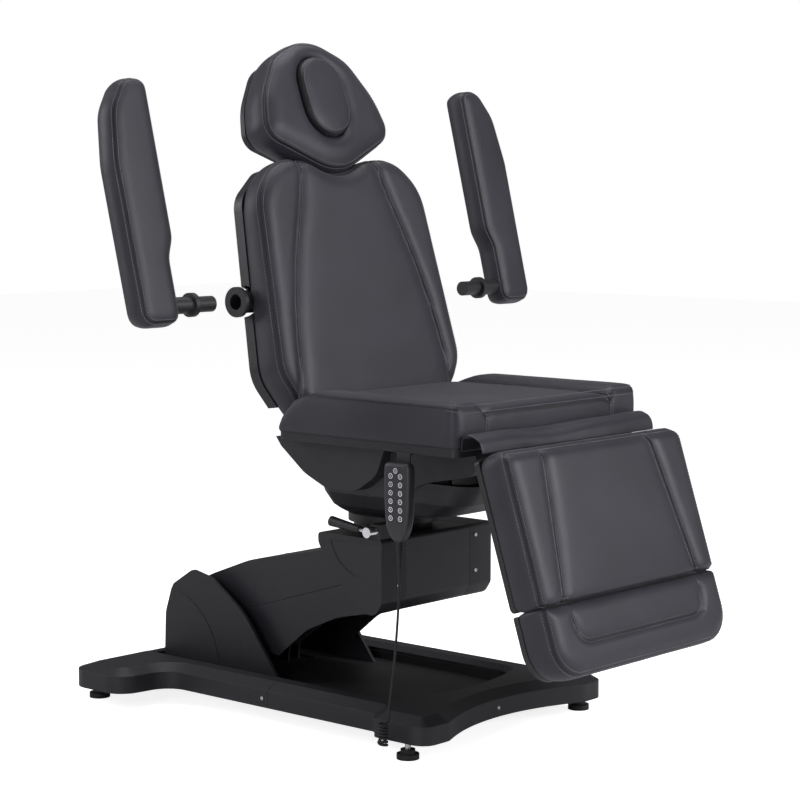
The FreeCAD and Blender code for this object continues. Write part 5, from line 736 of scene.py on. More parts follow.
class ChairColours(bpy.types.PropertyGroup):
    leather: tint("Leather", "Colour of the upholstery", (0.020, 0.0195, 0.0265))
    covers: tint("Base covers", "Colour of the base and tower covers", (0.0115, 0.012, 0.0145))
    arm_covers: tint("Arm covers", "Colour of the lift arm and head covers", (0.014, 0.0143, 0.018))
    thread: tint("Thread", "Colour of the sewing thread", (0.11, 0.11, 0.12))
    marks: tint("Key marks", "Colour printed on the keys", (0.8, 0.8, 0.82))


def sizes():
    return bpy.context.scene.chair_sizes


def colours():
    return bpy.context.scene.chair_colours


FINISHES = {}


def finish_of(slot):
    """The material of a slot, made when it is first asked for."""
    if slot not in FINISHES:
        FINISHES[slot] = MAKERS[slot]()
    return FINISHES[slot]


MAKERS = {
    "upholstery": lambda: leather("black leatherette", tuple(colours().leather)),
    "housing_plastic": lambda: moulded("grained cover", tuple(colours().covers), 620, 0.42, 0.5),
    "arm_plastic": lambda: moulded("satin cover", tuple(colours().arm_covers), 1100, 0.22, 0.44),
    "tray_plastic": lambda: moulded("moulded liner", (0.008, 0.008, 0.009), 760, 0.3, 0.55),
    "frame_paint": lambda: painted("black powder coat", (0.011, 0.011, 0.012)),
    "bright_steel": lambda: metal("zinc plate", (0.62, 0.62, 0.61), 0.26),
    "chrome": lambda: metal("polished chrome", (0.78, 0.78, 0.79), 0.08, turned=True),
    "rubber": lambda: rubbery("black rubber", (0.011, 0.011, 0.0115)),
    "board": lambda: leather("wrapped board", tinted(colours().leather, 0.5), seamed_piece=False),
    "shell_plastic": lambda: moulded("black shell", (0.016, 0.016, 0.018), 980, 0.25, 0.42),
    "handset_plastic": lambda: moulded("hand control case", (0.022, 0.022, 0.026), 1500, 0.18, 0.4, edge=0.0012),
    "keypad_film": lambda: moulded("keypad film", (0.03, 0.03, 0.035), 2000, 0.1, 0.3, edge=0.0004),
    "cord_jacket": lambda: rubbery("cord jacket", (0.012, 0.012, 0.013)),
    "motor_case": lambda: metal("cast aluminium", (0.28, 0.28, 0.29), 0.45),
    "thread": lambda: rubbery("sewing thread", tuple(colours().thread)),
    "marks": lambda: rubbery("key marks", tuple(colours().marks)),
    "bare_leather": lambda: leather("black leatherette without seams", tuple(colours().leather),
                                    seamed_piece=False),
}
SEAM_LINES = {}
STITCH_LIFT, WALL_STITCH_LIFT = 0.35, 0.4


def sew(body, line):
    """Remember a row of stitches, in model metres, for the stitching piece of a body."""
    SEAM_LINES.setdefault(body, []).append(np.asarray(line, float))


# The cushions

def box_corners(half, low, high):
    return [(-half, low), (half, low), (half, high), (-half, high)]


def even_rows(across):
    """The places across a pad at every share of its length, as many of them as there are halfway."""
    columns = len(across(0.5))

    def even(share):
        places = across(share)
        if len(places) == columns:
            return places
        return np.interp(np.linspace(0, 1, columns), np.linspace(0, 1, len(places)), places)
    return even


def side_seams(seam_x, lengths):
    """The left and right channel seams, from their distance to the middle line at each length."""
    return [np.stack([side * seam_x, lengths], axis=1) for side in (-1, 1)]


class SeatPad(Pad):
    HALF, FRONT_Y, REAR_Y, SEAM_X = 297, -427, 55, 205
    REAR, CROWN, VALLEY, CENTRE = 635.3, 723, 700, 709.5
    PROFILE = [(56, 635, 0), (56, 643, 0), (42.3, 666.9, 38), (8.9, 701.9, 38), (-39, 722.5, 76), (-66, 742, 0),
               (-300, 742, 0)]
    BACK_SOFT = 3.0

    def __init__(self):
        points = mirrored([(self.HALF, self.FRONT_Y, 20), (self.HALF, self.REAR_Y, 10)])
        corners = box_corners(self.HALF, self.FRONT_Y, self.REAR_Y)
        length = self.REAR_Y - self.FRONT_Y
        across = (seamed(self.HALF, [-self.SEAM_X, self.SEAM_X], 11) + self.HALF) / (2 * self.HALF)
        line = np.array([point for point in rounded(self.PROFILE) if point[0] > -70])
        self.profile = line[np.argsort(line[:, 0])]
        super().__init__("seat_pad", points, corners, spaced(length, 11) / length, lambda share: across, SEAT)
        self.seams = side_seams(np.full(2, self.SEAM_X), np.array([self.FRONT_Y, self.REAR_Y], float))

    def front(self, flat, gap):
        x, y = np.abs(flat[:, 0]), flat[:, 1]
        seam = np.abs(x - self.SEAM_X)
        roll = self.CROWN - (self.CROWN - self.VALLEY) * (1 - rise(seam, 30))
        roll = roll - 6 * (1 - rise(self.HALF - x, 18))
        middle = self.CENTRE - (self.CENTRE - self.VALLEY) * (1 - rise(seam, 34))
        height = np.where(x > self.SEAM_X, roll, middle)
        height = height - 12 * (1 - rise(y - self.FRONT_Y, 20)) - 2.5 * (1 - rise(gap, 12))
        limit = np.interp(y, self.profile[:, 0], self.profile[:, 1], left=760)
        soft, level = self.BACK_SOFT, 640      # any level near the pad keeps the powers small
        return -soft * np.log(np.exp(-(height - level) / soft) + np.exp(-(limit - level) / soft)) + level


class BackPad(Pad):
    HALF, HEIGHT = 288, 552
    FRONT, EDGE, CHANNEL, CENTRE = 74.5, 15, 12, 2
    OUTLINE = [(0.795, 0.014, 0.12), (1.01, 0.185, 0.30), (0.912, 0.890, 0.41), (0.66, 1.014, 0.40),
               (0.33, 1.018, 0.45), (0, 0.928, 0.48)]
    SEAM_SHARES = np.array([(0.0, 0.865), (0.015, 0.86), (0.09, 0.83), (0.175, 0.81), (0.36, 0.765), (0.54, 0.69),
                            (0.72, 0.58), (0.85, 0.48), (1.0, 0.40)])

    def __init__(self):
        points = inset(mirrored(scaled(self.OUTLINE, (0, 0), (self.HALF, self.HEIGHT))), 4.5)
        corners = [(-205, 0), (205, 0), (230, 552), (-230, 552)]

        def across(share):
            s = 8 + share * (self.HEIGHT - 12)
            half = np.interp(s, (8, 102, 489, 545), (229, 287, 262, 190))
            seam = self.seam_x(np.array([s]))[0]
            seam = min(seam, half - 34)
            return (seamed(half, [-seam, seam], 12) + half) / (2 * half)

        rows = spaced(self.HEIGHT, 11) / self.HEIGHT
        super().__init__("back_pad", points, corners, rows, even_rows(across), BACK)
        s = np.linspace(0, self.HEIGHT, 60)
        self.seams = side_seams(self.seam_x(s), s)
        self.bulge = 4.0

    def seam_x(self, s):
        """Smoothed run of the channel seam up the back."""
        grid = np.linspace(0, 1, 80)
        run = np.interp(grid, self.SEAM_SHARES[:, 0], self.SEAM_SHARES[:, 1])
        padded = np.concatenate([np.full(8, run[0]), run, np.full(8, run[-1])])
        run = np.convolve(padded, np.ones(17) / 17, mode="valid")
        return np.interp(np.asarray(s) / self.HEIGHT, grid, run) * self.HALF

    def front(self, flat, gap):
        x, s = np.abs(flat[:, 0]), flat[:, 1]
        seam_x = self.seam_x(s)
        seam = np.abs(x - seam_x)
        roll = self.FRONT - self.CHANNEL * (1 - rise(seam, 26)) - self.EDGE * (1 - rise(gap, 34))
        middle = self.FRONT - self.CENTRE - (self.CHANNEL - self.CENTRE) * (1 - rise(seam, 34))
        middle = middle - self.EDGE * (1 - rise(gap, 34))
        return np.where(x > seam_x, roll, middle)

    def rear(self, flat, gap):
        return -8 + 22 * np.clip(flat[:, 1] / self.HEIGHT, 0, 1)


class LegPad(Pad):
    HALF, TOP, BOTTOM = 289.5, 5, -296
    FRONT, EDGE, CHANNEL, CENTRE, REAR = 108, 13, 12, 2, 32.3

    def __init__(self):
        points = mirrored([(self.HALF, self.BOTTOM, 10), (self.HALF - 1, self.TOP, 24)])
        corners = box_corners(self.HALF, self.BOTTOM, self.TOP)
        length = self.TOP - self.BOTTOM

        def across(share):
            seam = self.seam_x(np.array([self.BOTTOM + share * length]))[0]
            return (seamed(self.HALF, [-seam, seam], 11) + self.HALF) / (2 * self.HALF)

        super().__init__("leg_pad", points, corners, spaced(length, 10) / length, even_rows(across), LEG)
        s = np.array([self.BOTTOM, self.TOP], float)
        self.seams = side_seams(self.seam_x(s), s)
        self.bulge = 6.0

    def seam_x(self, s):
        return 298 * np.interp(np.asarray(s), (-297, -10, 6), (0.75, 0.59, 0.585))

    def front(self, flat, gap):
        x, s = np.abs(flat[:, 0]), flat[:, 1]
        seam_x = self.seam_x(s)
        seam = np.abs(x - seam_x)
        side = self.HALF - x
        roll = self.FRONT - self.CHANNEL * (1 - rise(seam, 26)) - self.EDGE * (1 - rise(side, 32))
        middle = self.FRONT - self.CENTRE - (self.CHANNEL - self.CENTRE) * (1 - rise(seam, 30))
        height = np.where(x > seam_x, roll, middle)
        return height - 21 * (1 - rise(self.TOP - s, 26)) - 6 * (1 - rise(s - self.BOTTOM, 14))


class FootPad(Pad):
    HALF, TOP, BOTTOM = 286, -302, -439.5
    EDGE_LEVEL, CROWN, REAR, GROOVE = 95, 13, 32.3, 9
    PANEL_HALF, PANEL_LOW = 214, -380

    def __init__(self):
        points = mirrored([(self.HALF, self.BOTTOM, 66), (self.HALF, self.TOP, 8)])
        corners = box_corners(self.HALF, self.BOTTOM, self.TOP)
        corners[:2] = [(-self.HALF + 20, self.BOTTOM + 20), (self.HALF - 20, self.BOTTOM + 20)]
        length = self.TOP - self.BOTTOM
        across = (seamed(self.HALF, [-self.PANEL_HALF, self.PANEL_HALF], 10) + self.HALF) / (2 * self.HALF)
        rows = np.unique(np.concatenate([spaced(length, 8), 58 + np.array([-9, -5, -2, 0, 2, 5, 9])])) / length
        super().__init__("foot_pad", points, corners, rows, lambda share: across, LEG)
        panel = rounded(mirrored([(self.PANEL_HALF, self.PANEL_LOW, 44), (self.PANEL_HALF, self.TOP + 60, 0)]))
        low = panel[panel[:, 1] < self.TOP + 30]
        self.groove = low[np.argsort(np.arctan2(low[:, 0], -(low[:, 1] + 240)))]
        self.seams = [self.groove]
        self.bulge = 5.0

    def front(self, flat, gap):
        groove = distance_to(flat, self.groove, closed=False)
        height = self.EDGE_LEVEL + self.CROWN * rise(gap, 30)
        inner = (np.abs(flat[:, 0]) < self.PANEL_HALF) & (flat[:, 1] > self.PANEL_LOW)
        return height - self.GROOVE * (1 - rise(groove, 20)) - np.where(inner, 1.0, 0) * rise(groove, 20)


class ArmPad(Pad):
    OUTLINE = [(0, 0, 0.26), (1, 0, 0.32), (1.03, 0.66, 1.6), (0.86, 0.88, 0.9), (0.42, 1.01, 0.45),
               (-0.18, 1, 0.24), (-0.18, 0.345, 0.4), (0, 0.265, 0.4)]
    LEVEL, CROWN, ROUND = 25.5, 6.5, 24

    def __init__(self, name, side, inner_x):
        points = inset(scaled(self.OUTLINE, (inner_x, -41), (102, 510)), 5)
        corners = [(inner_x + 8, -34), (inner_x + 96, -34), (inner_x + 60, 460), (inner_x - 12, 462)]
        across = spaced(100, 9, (0, 2, 5, 9, 15, 22)) / 100
        if side < 0:
            points = [(-a, b, radius) for a, b, radius in reversed(points)]
            corners = [(-a, b) for a, b in (corners[1], corners[0], corners[3], corners[2])]
        super().__init__(name, points, corners, spaced(500, 11) / 500, lambda share: across, ARM)
        self.bulge = 6.5
        self.wall_levels = (0.03, 0.08, 0.15, 0.25, 0.37, 0.5, 0.63, 0.75, 0.85, 0.92, 0.97)

    def front(self, flat, gap):
        return self.LEVEL + self.CROWN * rise(gap, self.ROUND)

    def rear(self, flat, gap):
        return -self.front(flat, gap)


def upholstered(pad, body, nodes, cap_share=1.0, free_depth=0.6, seed=1.0, levels=1):
    """Build a pad, let the stuffing swell it between its seams, rumple it and dress it."""
    piece = pad.build(finish_of("upholstery"))
    gaps = pad.seam_gap
    free = rise(gaps, 45, 1.6)
    free[pad.front_count:] *= free_depth
    free[-pad.front_count:] = 0
    inflated(piece, free, sizes().puff / UNIT * cap_share)
    rumpled(piece, gaps, sizes().crease_depth / UNIT, seed=seed)
    with_seams(piece, gaps)
    subdivided(piece, levels)
    return dressed(piece, body, nodes)


def parallel(line, offset):
    """A 2-D line moved sideways."""
    line = np.asarray(line, float)
    run = np.gradient(line, axis=0)
    run /= np.maximum(np.linalg.norm(run, axis=1), 1e-9)[:, None]
    return line + np.stack([-run[:, 1], run[:, 0]], axis=1) * offset


def sew_channels(pad, body, offset=4.5, trim=3.0, step=5.0):
    """Topstitching on both sides of every channel seam of a pad."""
    for line in pad.seams:
        dense = resampled(line, int(np.sum(np.linalg.norm(np.diff(line, axis=0), axis=1)) / step))
        for side in (-1, 1):
            row = parallel(dense, side * offset)
            row = row[(distance_to(row, pad.outline) > trim) & within(row, pad.outline)]
            if len(row) > 3:
                sew(body, pad.at(row, STITCH_LIFT))


def within(points, outline):
    """Which points lie inside a closed outline."""
    x, y = points[:, 0][:, None], points[:, 1][:, None]
    a, b = outline, np.roll(outline, -1, axis=0)
    crosses = (a[:, 1] > y) != (b[:, 1] > y)
    with np.errstate(divide="ignore", invalid="ignore"):
        at = a[:, 0] + (y - a[:, 1]) * (b[:, 0] - a[:, 0]) / (b[:, 1] - a[:, 1])
    return (np.sum(crosses & (x < at), axis=1) % 2) == 1


def sew_edge(pad, body, inside=5.5, below=5.5, keep=None):
    """Topstitching either side of a pad's front edge seam; keep chooses the stretch by its plane points."""
    for line, on_front in ((inset(pad.points, inside), True), (pad.points, False)):
        ring = looped(rounded(line, 4.0))
        normals = wall_normals(ring)
        chosen = np.ones(len(ring), bool) if keep is None else keep(ring)
        for start, end in runs_of(chosen):
            part = ring[start:end]
            if len(part) < 4:
                continue
            if on_front:
                sew(body, pad.at(part, STITCH_LIFT))
                continue
            edge = np.zeros(len(part))
            top = pad.front(part, edge)
            share = below / np.maximum(top - pad.rear(part, edge), 1)
            stand = np.array([pad.wall_out(float(value)) for value in share]) + WALL_STITCH_LIFT
            sew(body, on_frame(pad.frame, part + normals[start:end] * stand[:, None], top - below))


def wall_normals(ring):
    """Outward directions at the points of a ring."""
    following = np.roll(ring, -1, axis=0) - np.roll(ring, 1, axis=0)
    out = np.stack([following[:, 1], -following[:, 0]], axis=1)
    return out / np.maximum(np.linalg.norm(out, axis=1), 1e-9)[:, None]


def runs_of(chosen):
    """Start and end of every unbroken stretch of True."""
    marks = np.concatenate([[0], chosen.astype(int), [0]])
    steps = np.diff(marks)
    return list(zip(np.where(steps == 1)[0], np.where(steps == -1)[0]))


# Headrest, sheet and cord

HEADREST_POINTS = mirrored(scaled([(0, -0.096, 0.74), (1, 0.224, 0.236), (0.877, 0.552, 0.887), (0.576, 0.864, 0.493),
                                   (0, 1.049, 0.69)], (0, 0), (203, 286)))
PLUG_POINTS = mirrored([(66, 61, 64), (66, 243, 64)])
PLUG_MIDDLE = np.array([0, 152.0])


def headrest_face(out, inner):
    """Height of the headrest's front at distances from its outline and from its hole."""
    return -13 + 15.5 * rise(out, 42) - 9 * (1 - rise(inner, 26))


def towards_middle(ring, share):
    return ring + (PLUG_MIDDLE - ring) * share


def headrest_pad():
    """Headrest cushion: crowned front round an oval hole, boxing wall and flat rear."""
    count = 200
    outer = ring_of(inset(HEADREST_POINTS, 6), count, (0, -20))
    hole = ring_of(inset(PLUG_POINTS, -2), count, (0, 60))
    outline, oval = rounded(inset(HEADREST_POINTS, 6)), rounded(inset(PLUG_POINTS, -2))
    rings, gaps = [], []

    def add(flat, heights, gap):
        rings.append(on_frame(HEADREST, flat, heights))
        gaps.append(np.broadcast_to(gap, (count,)))

    for share in (0, 0.02, 0.05, 0.1, 0.17, 0.26, 0.37, 0.5, 0.62, 0.73, 0.82, 0.89, 0.94, 0.975, 1.0):
        flat = outer + (hole - outer) * share
        out = distance_to(flat, outline) if share else np.zeros(count)
        inner = distance_to(flat, oval) if share < 1 else np.zeros(count)
        add(flat, headrest_face(out, inner), np.minimum(out, 30))
    front = len(rings)
    for level in (-9, -16, -26, -40, -58, -76, -84):
        add(towards_middle(hole, -0.012 if level > -80 else -0.03), np.full(count, level), 30)
    rear = ring_of(inset(HEADREST_POINTS, 13), count, (0, -20))
    for share in (0.1, 0.35, 0.65, 0.9):
        add(hole + (rear - hole) * share, np.full(count, -86), 30)
    for level, narrow, sag in ((-85, 12.5, 3), (-80, 9.5, 5), (-70, 6, 6), (-58, 3, 5), (-46, 1, 4), (-34, 1.2, 2.5),
                               (-25, 3, 1), (-18, 5, 0), (-14.5, 6.8, 0)):
        flat = ring_of(inset(HEADREST_POINTS, narrow), count, (0, -20))
        flat = flat - np.array([0, sag]) * rise(80 - flat[:, 1:], 80)
        add(flat, np.full(count, level), np.abs(level + 13))
    piece = tube("headrest_pad", rings, finish_of("upholstery"))
    gap = np.concatenate(gaps)
    free = rise(gap, 40, 1.6)
    free[front * count:] *= 0.35
    inflated(piece, free, sizes().puff / UNIT * 0.8)
    rumpled(piece, gap, sizes().crease_depth / UNIT * 0.5, seed=6)
    with_seams(piece, gap)
    subdivided(piece)
    ring = looped(rounded(inset(HEADREST_POINTS, 11), 4))
    heights = headrest_face(distance_to(ring, outline), distance_to(ring, oval)) + 0.3
    sew("headrest", on_frame(HEADREST, ring, heights))
    wall = looped(rounded(inset(HEADREST_POINTS, 4.0), 4))
    sew("headrest", on_frame(HEADREST, wall, np.full(len(wall), -19.0)))
    return dressed(piece, "headrest", ["headrest_cushion"])


def headrest_plug():
    """Oval plug that fills the breathing hole, with a sewn rim and a crowned face."""
    count = 120
    outline = ring_of(inset(PLUG_POINTS, 1.2), count, (0, 60))
    rings, gaps = [], []
    shape = [(-59, 3, 40), (-40, 1.5, 30), (-22, 0.5, 16), (-10, 0, 6), (-2, 0, 3), (3.5, 0.6, 1.5), (6, 2.2, 0),
             (8.5, 6, 4), (10.5, 11, 9), (12, 18, 16), (13, 26, 24), (13.6, 35, 33)]
    shape += [(13.8, share * 64, 60) for share in (0.68, 0.84, 0.95)]
    for level, narrow, gap in shape:
        rings.append(on_frame(HEADREST, towards_middle(outline, narrow / 64), np.full(count, level)))
        gaps.append(np.full(count, float(gap)))
    piece = tube("headrest_plug_pad", rings, finish_of("upholstery"), "fan")
    gap = np.concatenate(gaps + [[60.0, 60.0]])
    rumpled(piece, gap, sizes().crease_depth / UNIT * 0.5, seed=8)
    with_seams(piece, gap)
    subdivided(piece)
    rim = looped(towards_middle(outline, 6.0 / 64))
    sew("face_plug", on_frame(HEADREST, rim, np.full(count + 1, 8.9)))
    return dressed(piece, "face_plug", ["headrest_plug"])


def apron_sheet():
    """Leather flap that rolls over the gap between the seat and the leg rest."""
    half, root_y, root_z, reach, tall = 286, -430.6, 628, 54, 36
    shares = [(0, 0.05), (0.0, 0.45), (0.02, 0.78), (0.12, 0.97), (0.28, 1.05), (0.45, 1.02), (0.62, 0.93),
              (0.78, 0.82), (0.9, 0.62), (0.97, 0.35), (1.0, 0.05)]
    path = resampled(shares, 26)
    columns = 96
    places = []
    for across in np.linspace(-half, half, columns):
        swell = noise.noise(Vector((across * 0.009, 3.1, 0))) * 0.12
        dip = -0.3 * math.exp(-((across + 60) / 130) ** 2) + 0.05 * math.exp(-((across - 235) / 60) ** 2)
        for a, b in path:
            ripple = noise.noise(Vector((across * 0.02, a * 3, b * 3))) * 0.7
            size = 1 + (swell + dip) * min(1.0, a * 2.2) * (0.4 + 0.6 * min(1, b))
            y = root_y - a * reach * (0.93 + 0.06 * math.sin(across * 0.013)) - ripple * min(1, a * 4)
            z = root_z + b * tall * size + ripple * 0.8 * min(1, a * 4)
            places.append(mm(across, y, z))
    piece = made("apron_sheet", places, grid_faces(columns, len(path)), finish_of("bare_leather"))
    outward(piece)
    thick = piece.modifiers.new("leather", "SOLIDIFY")
    thick.thickness = 0.0026
    thick.offset = 0
    applied(piece)
    subdivided(piece)
    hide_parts("seat_apron")
    tuple(mm(0, root_y, root_z))
    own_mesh(piece)
    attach(piece, "seat")
    return piece


CORD_ROUTE = [
    (-308.5, -291.0, 386.0), (-308.8, -290.8, 360.0), (-310.5, -289.6, 305.0), (-313.0, -286.5, 245.0),
    (-315.5, -281.5, 185.0), (-317.5, -275.5, 135.0), (-318.3, -272.0, 105.0), (-318.5, -271.5, 88.0),
    (-318.5, -271.3, 81.0), (-318.5, -268.5, 76.5),
]
CORD_TAIL = [
    (-318.5, -258.2, 29.0), (-317.0, -246.0, 28.5), (-309.0, -234.0, 27.5), (-297.0, -226.0, 27.5),
    (-283.0, -220.0, 30.0), (-270.0, -216.0, 37.0), (-258.0, -214.0, 46.0), (-244.0, -213.0, 50.0),
]


def cord_points():
    """Control points of the whole cord: down from the hand control, round the curls and into the base."""
    turns, steps, radius = sizes().curl_turns, 14, 8.2
    curls = []
    for k in range(turns * steps + 1):
        angle = 2 * math.pi * k / steps
        curls.append((-326.5 + radius * math.cos(angle), -263.5 + radius * math.sin(angle),
                      75 - 44.8 / turns * k / steps))
    return [mm(*point) for point in CORD_ROUTE + curls + CORD_TAIL]


def cord_line():
    points = cord_points()
    curve = bpy.data.curves.new("hand_control_cord", "CURVE")
    curve.dimensions = "3D"
    spline = curve.splines.new("NURBS")
    spline.points.add(len(points) - 1)
    for point, place in zip(spline.points, points):
        point.co = (*place, 1)
    spline.order_u = 3
    spline.use_endpoint_u = True
    curve.resolution_u = 6
    return linked("hand_control_cord", curve)


def hand_control_cord():
    """Cord as a mesh tube along its spline."""
    line = cord_line()
    depsgraph = bpy.context.evaluated_depsgraph_get()
    bare = bpy.data.meshes.new_from_object(line.evaluated_get(depsgraph), depsgraph=depsgraph)
    line.data.bevel_depth = sizes().cord_radius
    line.data.bevel_resolution = 3
    line.data.use_fill_caps = True
    line.data.materials.append(finish_of("cord_jacket"))
    jacket = bpy.data.meshes.new_from_object(line.evaluated_get(bpy.context.evaluated_depsgraph_get()))
    bpy.data.objects.remove(line)
    piece = linked("hand_control_cord", jacket)
    jacket.shade_smooth()
    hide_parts("handset_cord", "cord_curls", "cord_tail")
    top, foot = mm(*CORD_ROUTE[0]), mm(*CORD_ROUTE[-3])
    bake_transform(piece)
    tuple(mm(*CORD_ROUTE[0]))
    return piece


def spun(name, profile, middle, material, count=32):
    """Solid of revolution about a vertical axis, from (radius, height) pairs."""
    angles = np.linspace(0, 2 * math.pi, count, endpoint=False)
    rings = [np.array([mm(middle[0] + radius * math.cos(a), middle[1] + radius * math.sin(a), height) for a in angles])
             for radius, height in profile]
    return tube(name, rings, material, "flat")


def strain_relief():
    """Ribbed, tapered sleeve where the cord leaves the hand control."""
    profile = [(6.6, 443)]
    ribs = 11
    for k in range(ribs):
        top = 440 - k * 4.6
        radius = 6.7 - 2.6 * k / ribs
        profile += [(radius, top), (radius + 0.25, top - 0.6), (radius + 0.25, top - 2.2), (radius, top - 2.7),
                    (radius - 0.9, top - 3.1), (radius - 0.9, top - 4.2)]
    profile += [(3.7, 389), (3.6, 386.5), (2.7, 386)]
    piece = spun("cord_sleeve", profile, (-308.5, -291), finish_of("cord_jacket"))
    return dressed(piece, "handset", ["cord_strain_relief"])


# Repeated small pieces, made by node trees

def tree_named(name, inputs):
    """A geometry node tree that takes a mesh and some named values."""
    tree = bpy.data.node_groups.new(name, "GeometryNodeTree")
    tree.interface.new_socket("Geometry", in_out="INPUT", socket_type="NodeSocketGeometry")
    for label, kind, default in inputs:
        socket = tree.interface.new_socket(label, in_out="INPUT", socket_type=kind)
        if default is not None:
            socket.default_value = default
    tree.interface.new_socket("Geometry", in_out="OUTPUT", socket_type="NodeSocketGeometry")
    return tree


class Wiring:
    """Adds and joins the nodes of a tree."""

    def __init__(self, tree):
        self.tree = tree
        self.start = tree.nodes.new("NodeGroupInput")
        self.end = tree.nodes.new("NodeGroupOutput")

    def add(self, kind, settings=None, inputs=None):
        return added(self.tree, kind, settings, inputs)

    def given(self, name):
        return self.start.outputs[name]

    def finish(self, geometry):
        self.tree.links.new(geometry, self.end.inputs[0])


def stitch_tree():
    """Stitches laid along every edge chain of the input mesh."""
    tree = tree_named("Stitches", [("Pitch", "NodeSocketFloat", 0.005), ("Length", "NodeSocketFloat", 0.0036),
                                   ("Radius", "NodeSocketFloat", 0.0005), ("Thread", "NodeSocketMaterial", None)])
    w = Wiring(tree)
    rows = w.add("GeometryNodeMeshToCurve", None, {"Mesh": w.given("Geometry")})
    even = w.add("GeometryNodeResampleCurve", {"mode": "LENGTH"},
                 {"Curve": rows.outputs[0], "Length": w.given("Pitch")})
    stitch = w.add("GeometryNodeMeshCylinder", {"fill_type": "TRIANGLE_FAN"},
                   {"Vertices": 6, "Side Segments": 2, "Radius": w.given("Radius"), "Depth": w.given("Length")})
    run = w.add("GeometryNodeInputTangent")
    turn = w.add("FunctionNodeAlignRotationToVector", {"axis": "Z"}, {"Vector": run.outputs[0]})
    laid = w.add("GeometryNodeInstanceOnPoints", None,
                 {"Points": even.outputs[0], "Instance": stitch.outputs["Mesh"], "Rotation": turn.outputs[0]})
    real = w.add("GeometryNodeRealizeInstances", None, {"Geometry": laid.outputs[0]})
    smooth = w.add("GeometryNodeSetShadeSmooth", None, {"Geometry": real.outputs[0]})
    done = w.add("GeometryNodeSetMaterial", None, {"Geometry": smooth.outputs[0], "Material": w.given("Thread")})
    w.finish(done.outputs[0])
    return tree


def spread_tree():
    """One small piece set on every point, turned to the point's direction and spun by its turn."""
    tree = tree_named("Small pieces", [("Piece", "NodeSocketObject", None), ("Finish", "NodeSocketMaterial", None)])
    w = Wiring(tree)
    source = w.add("GeometryNodeObjectInfo", {"transform_space": "ORIGINAL"}, {"Object": w.given("Piece")})
    heading = w.add("GeometryNodeInputNamedAttribute", {"data_type": "FLOAT_VECTOR"}, {"Name": "heading"})
    spin = w.add("GeometryNodeInputNamedAttribute", {"data_type": "FLOAT"}, {"Name": "spin"})
    turn = w.add("FunctionNodeAlignRotationToVector", {"axis": "Z"}, {"Vector": heading.outputs[0]})
    about = w.add("FunctionNodeAxisAngleToRotation", None, {"Axis": (0, 0, 1), "Angle": spin.outputs[0]})
    both = w.add("FunctionNodeRotateRotation", {"rotation_space": "LOCAL"},
                 {"Rotation": turn.outputs[0], "Rotate By": about.outputs[0]})
    points = w.add("GeometryNodeMeshToPoints", None, {"Mesh": w.given("Geometry")})
    laid = w.add("GeometryNodeInstanceOnPoints", None,
                 {"Points": points.outputs[0], "Instance": source.outputs["Geometry"], "Rotation": both.outputs[0]})
    real = w.add("GeometryNodeRealizeInstances", None, {"Geometry": laid.outputs[0]})
    done = w.add("GeometryNodeSetMaterial", None, {"Geometry": real.outputs[0], "Material": w.given("Finish")})
    w.finish(done.outputs[0])
    return tree


def run_tree(piece, tree, values):
    """Evaluate a node tree on a piece and keep only the resulting mesh."""
    modifier = piece.modifiers.new(tree.name, "NODES")
    modifier.node_group = tree
    named = {item.name: item.identifier for item in tree.interface.items_tree if item.in_out == "INPUT"}
    for name, value in values.items():
        modifier[named[name]] = value
    piece.update_tag()
    bpy.context.view_layer.update()
    return applied(piece)


def stitched(tree, body, lines):
    places, edges = [], []
    for line in lines:
        first = len(places)
        places += [tuple(place) for place in line]
        edges += [(first + k, first + k + 1) for k in range(len(line) - 1)]
    mesh = bpy.data.meshes.new(body + "_stitches")
    mesh.from_pydata(places, edges, [])
    piece = linked(body + "_stitches", mesh)
    settings = sizes()
    run_tree(piece, tree, {"Pitch": settings.stitch_pitch, "Length": settings.stitch_length,
                           "Radius": settings.thread_radius, "Thread": finish_of("thread")})
    return dressed(piece, body)


def scattered(tree, name, small, spots, finish):
    """Small pieces at (place, heading, spin) spots, as one mesh."""
    mesh = bpy.data.meshes.new(name)
    mesh.from_pydata([tuple(place) for place, heading, spin in spots], [], [])
    heading = mesh.attributes.new("heading", "FLOAT_VECTOR", "POINT")
    heading.data.foreach_set("vector", np.array([tuple(h) for p, h, s in spots], np.float32).ravel())
    spin = mesh.attributes.new("spin", "FLOAT", "POINT")
    spin.data.foreach_set("value", np.array([s for p, h, s in spots], np.float32))
    return run_tree(linked(name, mesh), tree, {"Piece": small, "Finish": finish})


def lathe_work(profile, count, hollow=False):
    """A small piece turned about Z, from (radius, height) pairs in millimetres; a hollow one is a ring."""
    work = bmesh.new()
    angles = [2 * math.pi * k / count for k in range(count)]
    rings = []
    for radius, height in profile:
        places = [(radius * UNIT * math.cos(a), radius * UNIT * math.sin(a), height * UNIT) for a in angles]
        rings.append([work.verts.new(place) for place in places])
    for low, high in zip(rings, rings[1:] + (rings[:1] if hollow else [])):
        for k in range(count):
            work.faces.new((low[k], low[(k + 1) % count], high[(k + 1) % count], high[k]))
    if not hollow:
        work.faces.new(rings[0][::-1])
        work.faces.new(rings[-1])
    return work


def kept(work, name):
    bmesh.ops.recalc_face_normals(work, faces=work.faces)
    mesh = bpy.data.meshes.new(name)
    work.to_mesh(mesh)
    work.free()
    mesh.shade_smooth()
    mesh.set_sharp_from_angle(angle=math.radians(40))
    return linked(name, mesh)


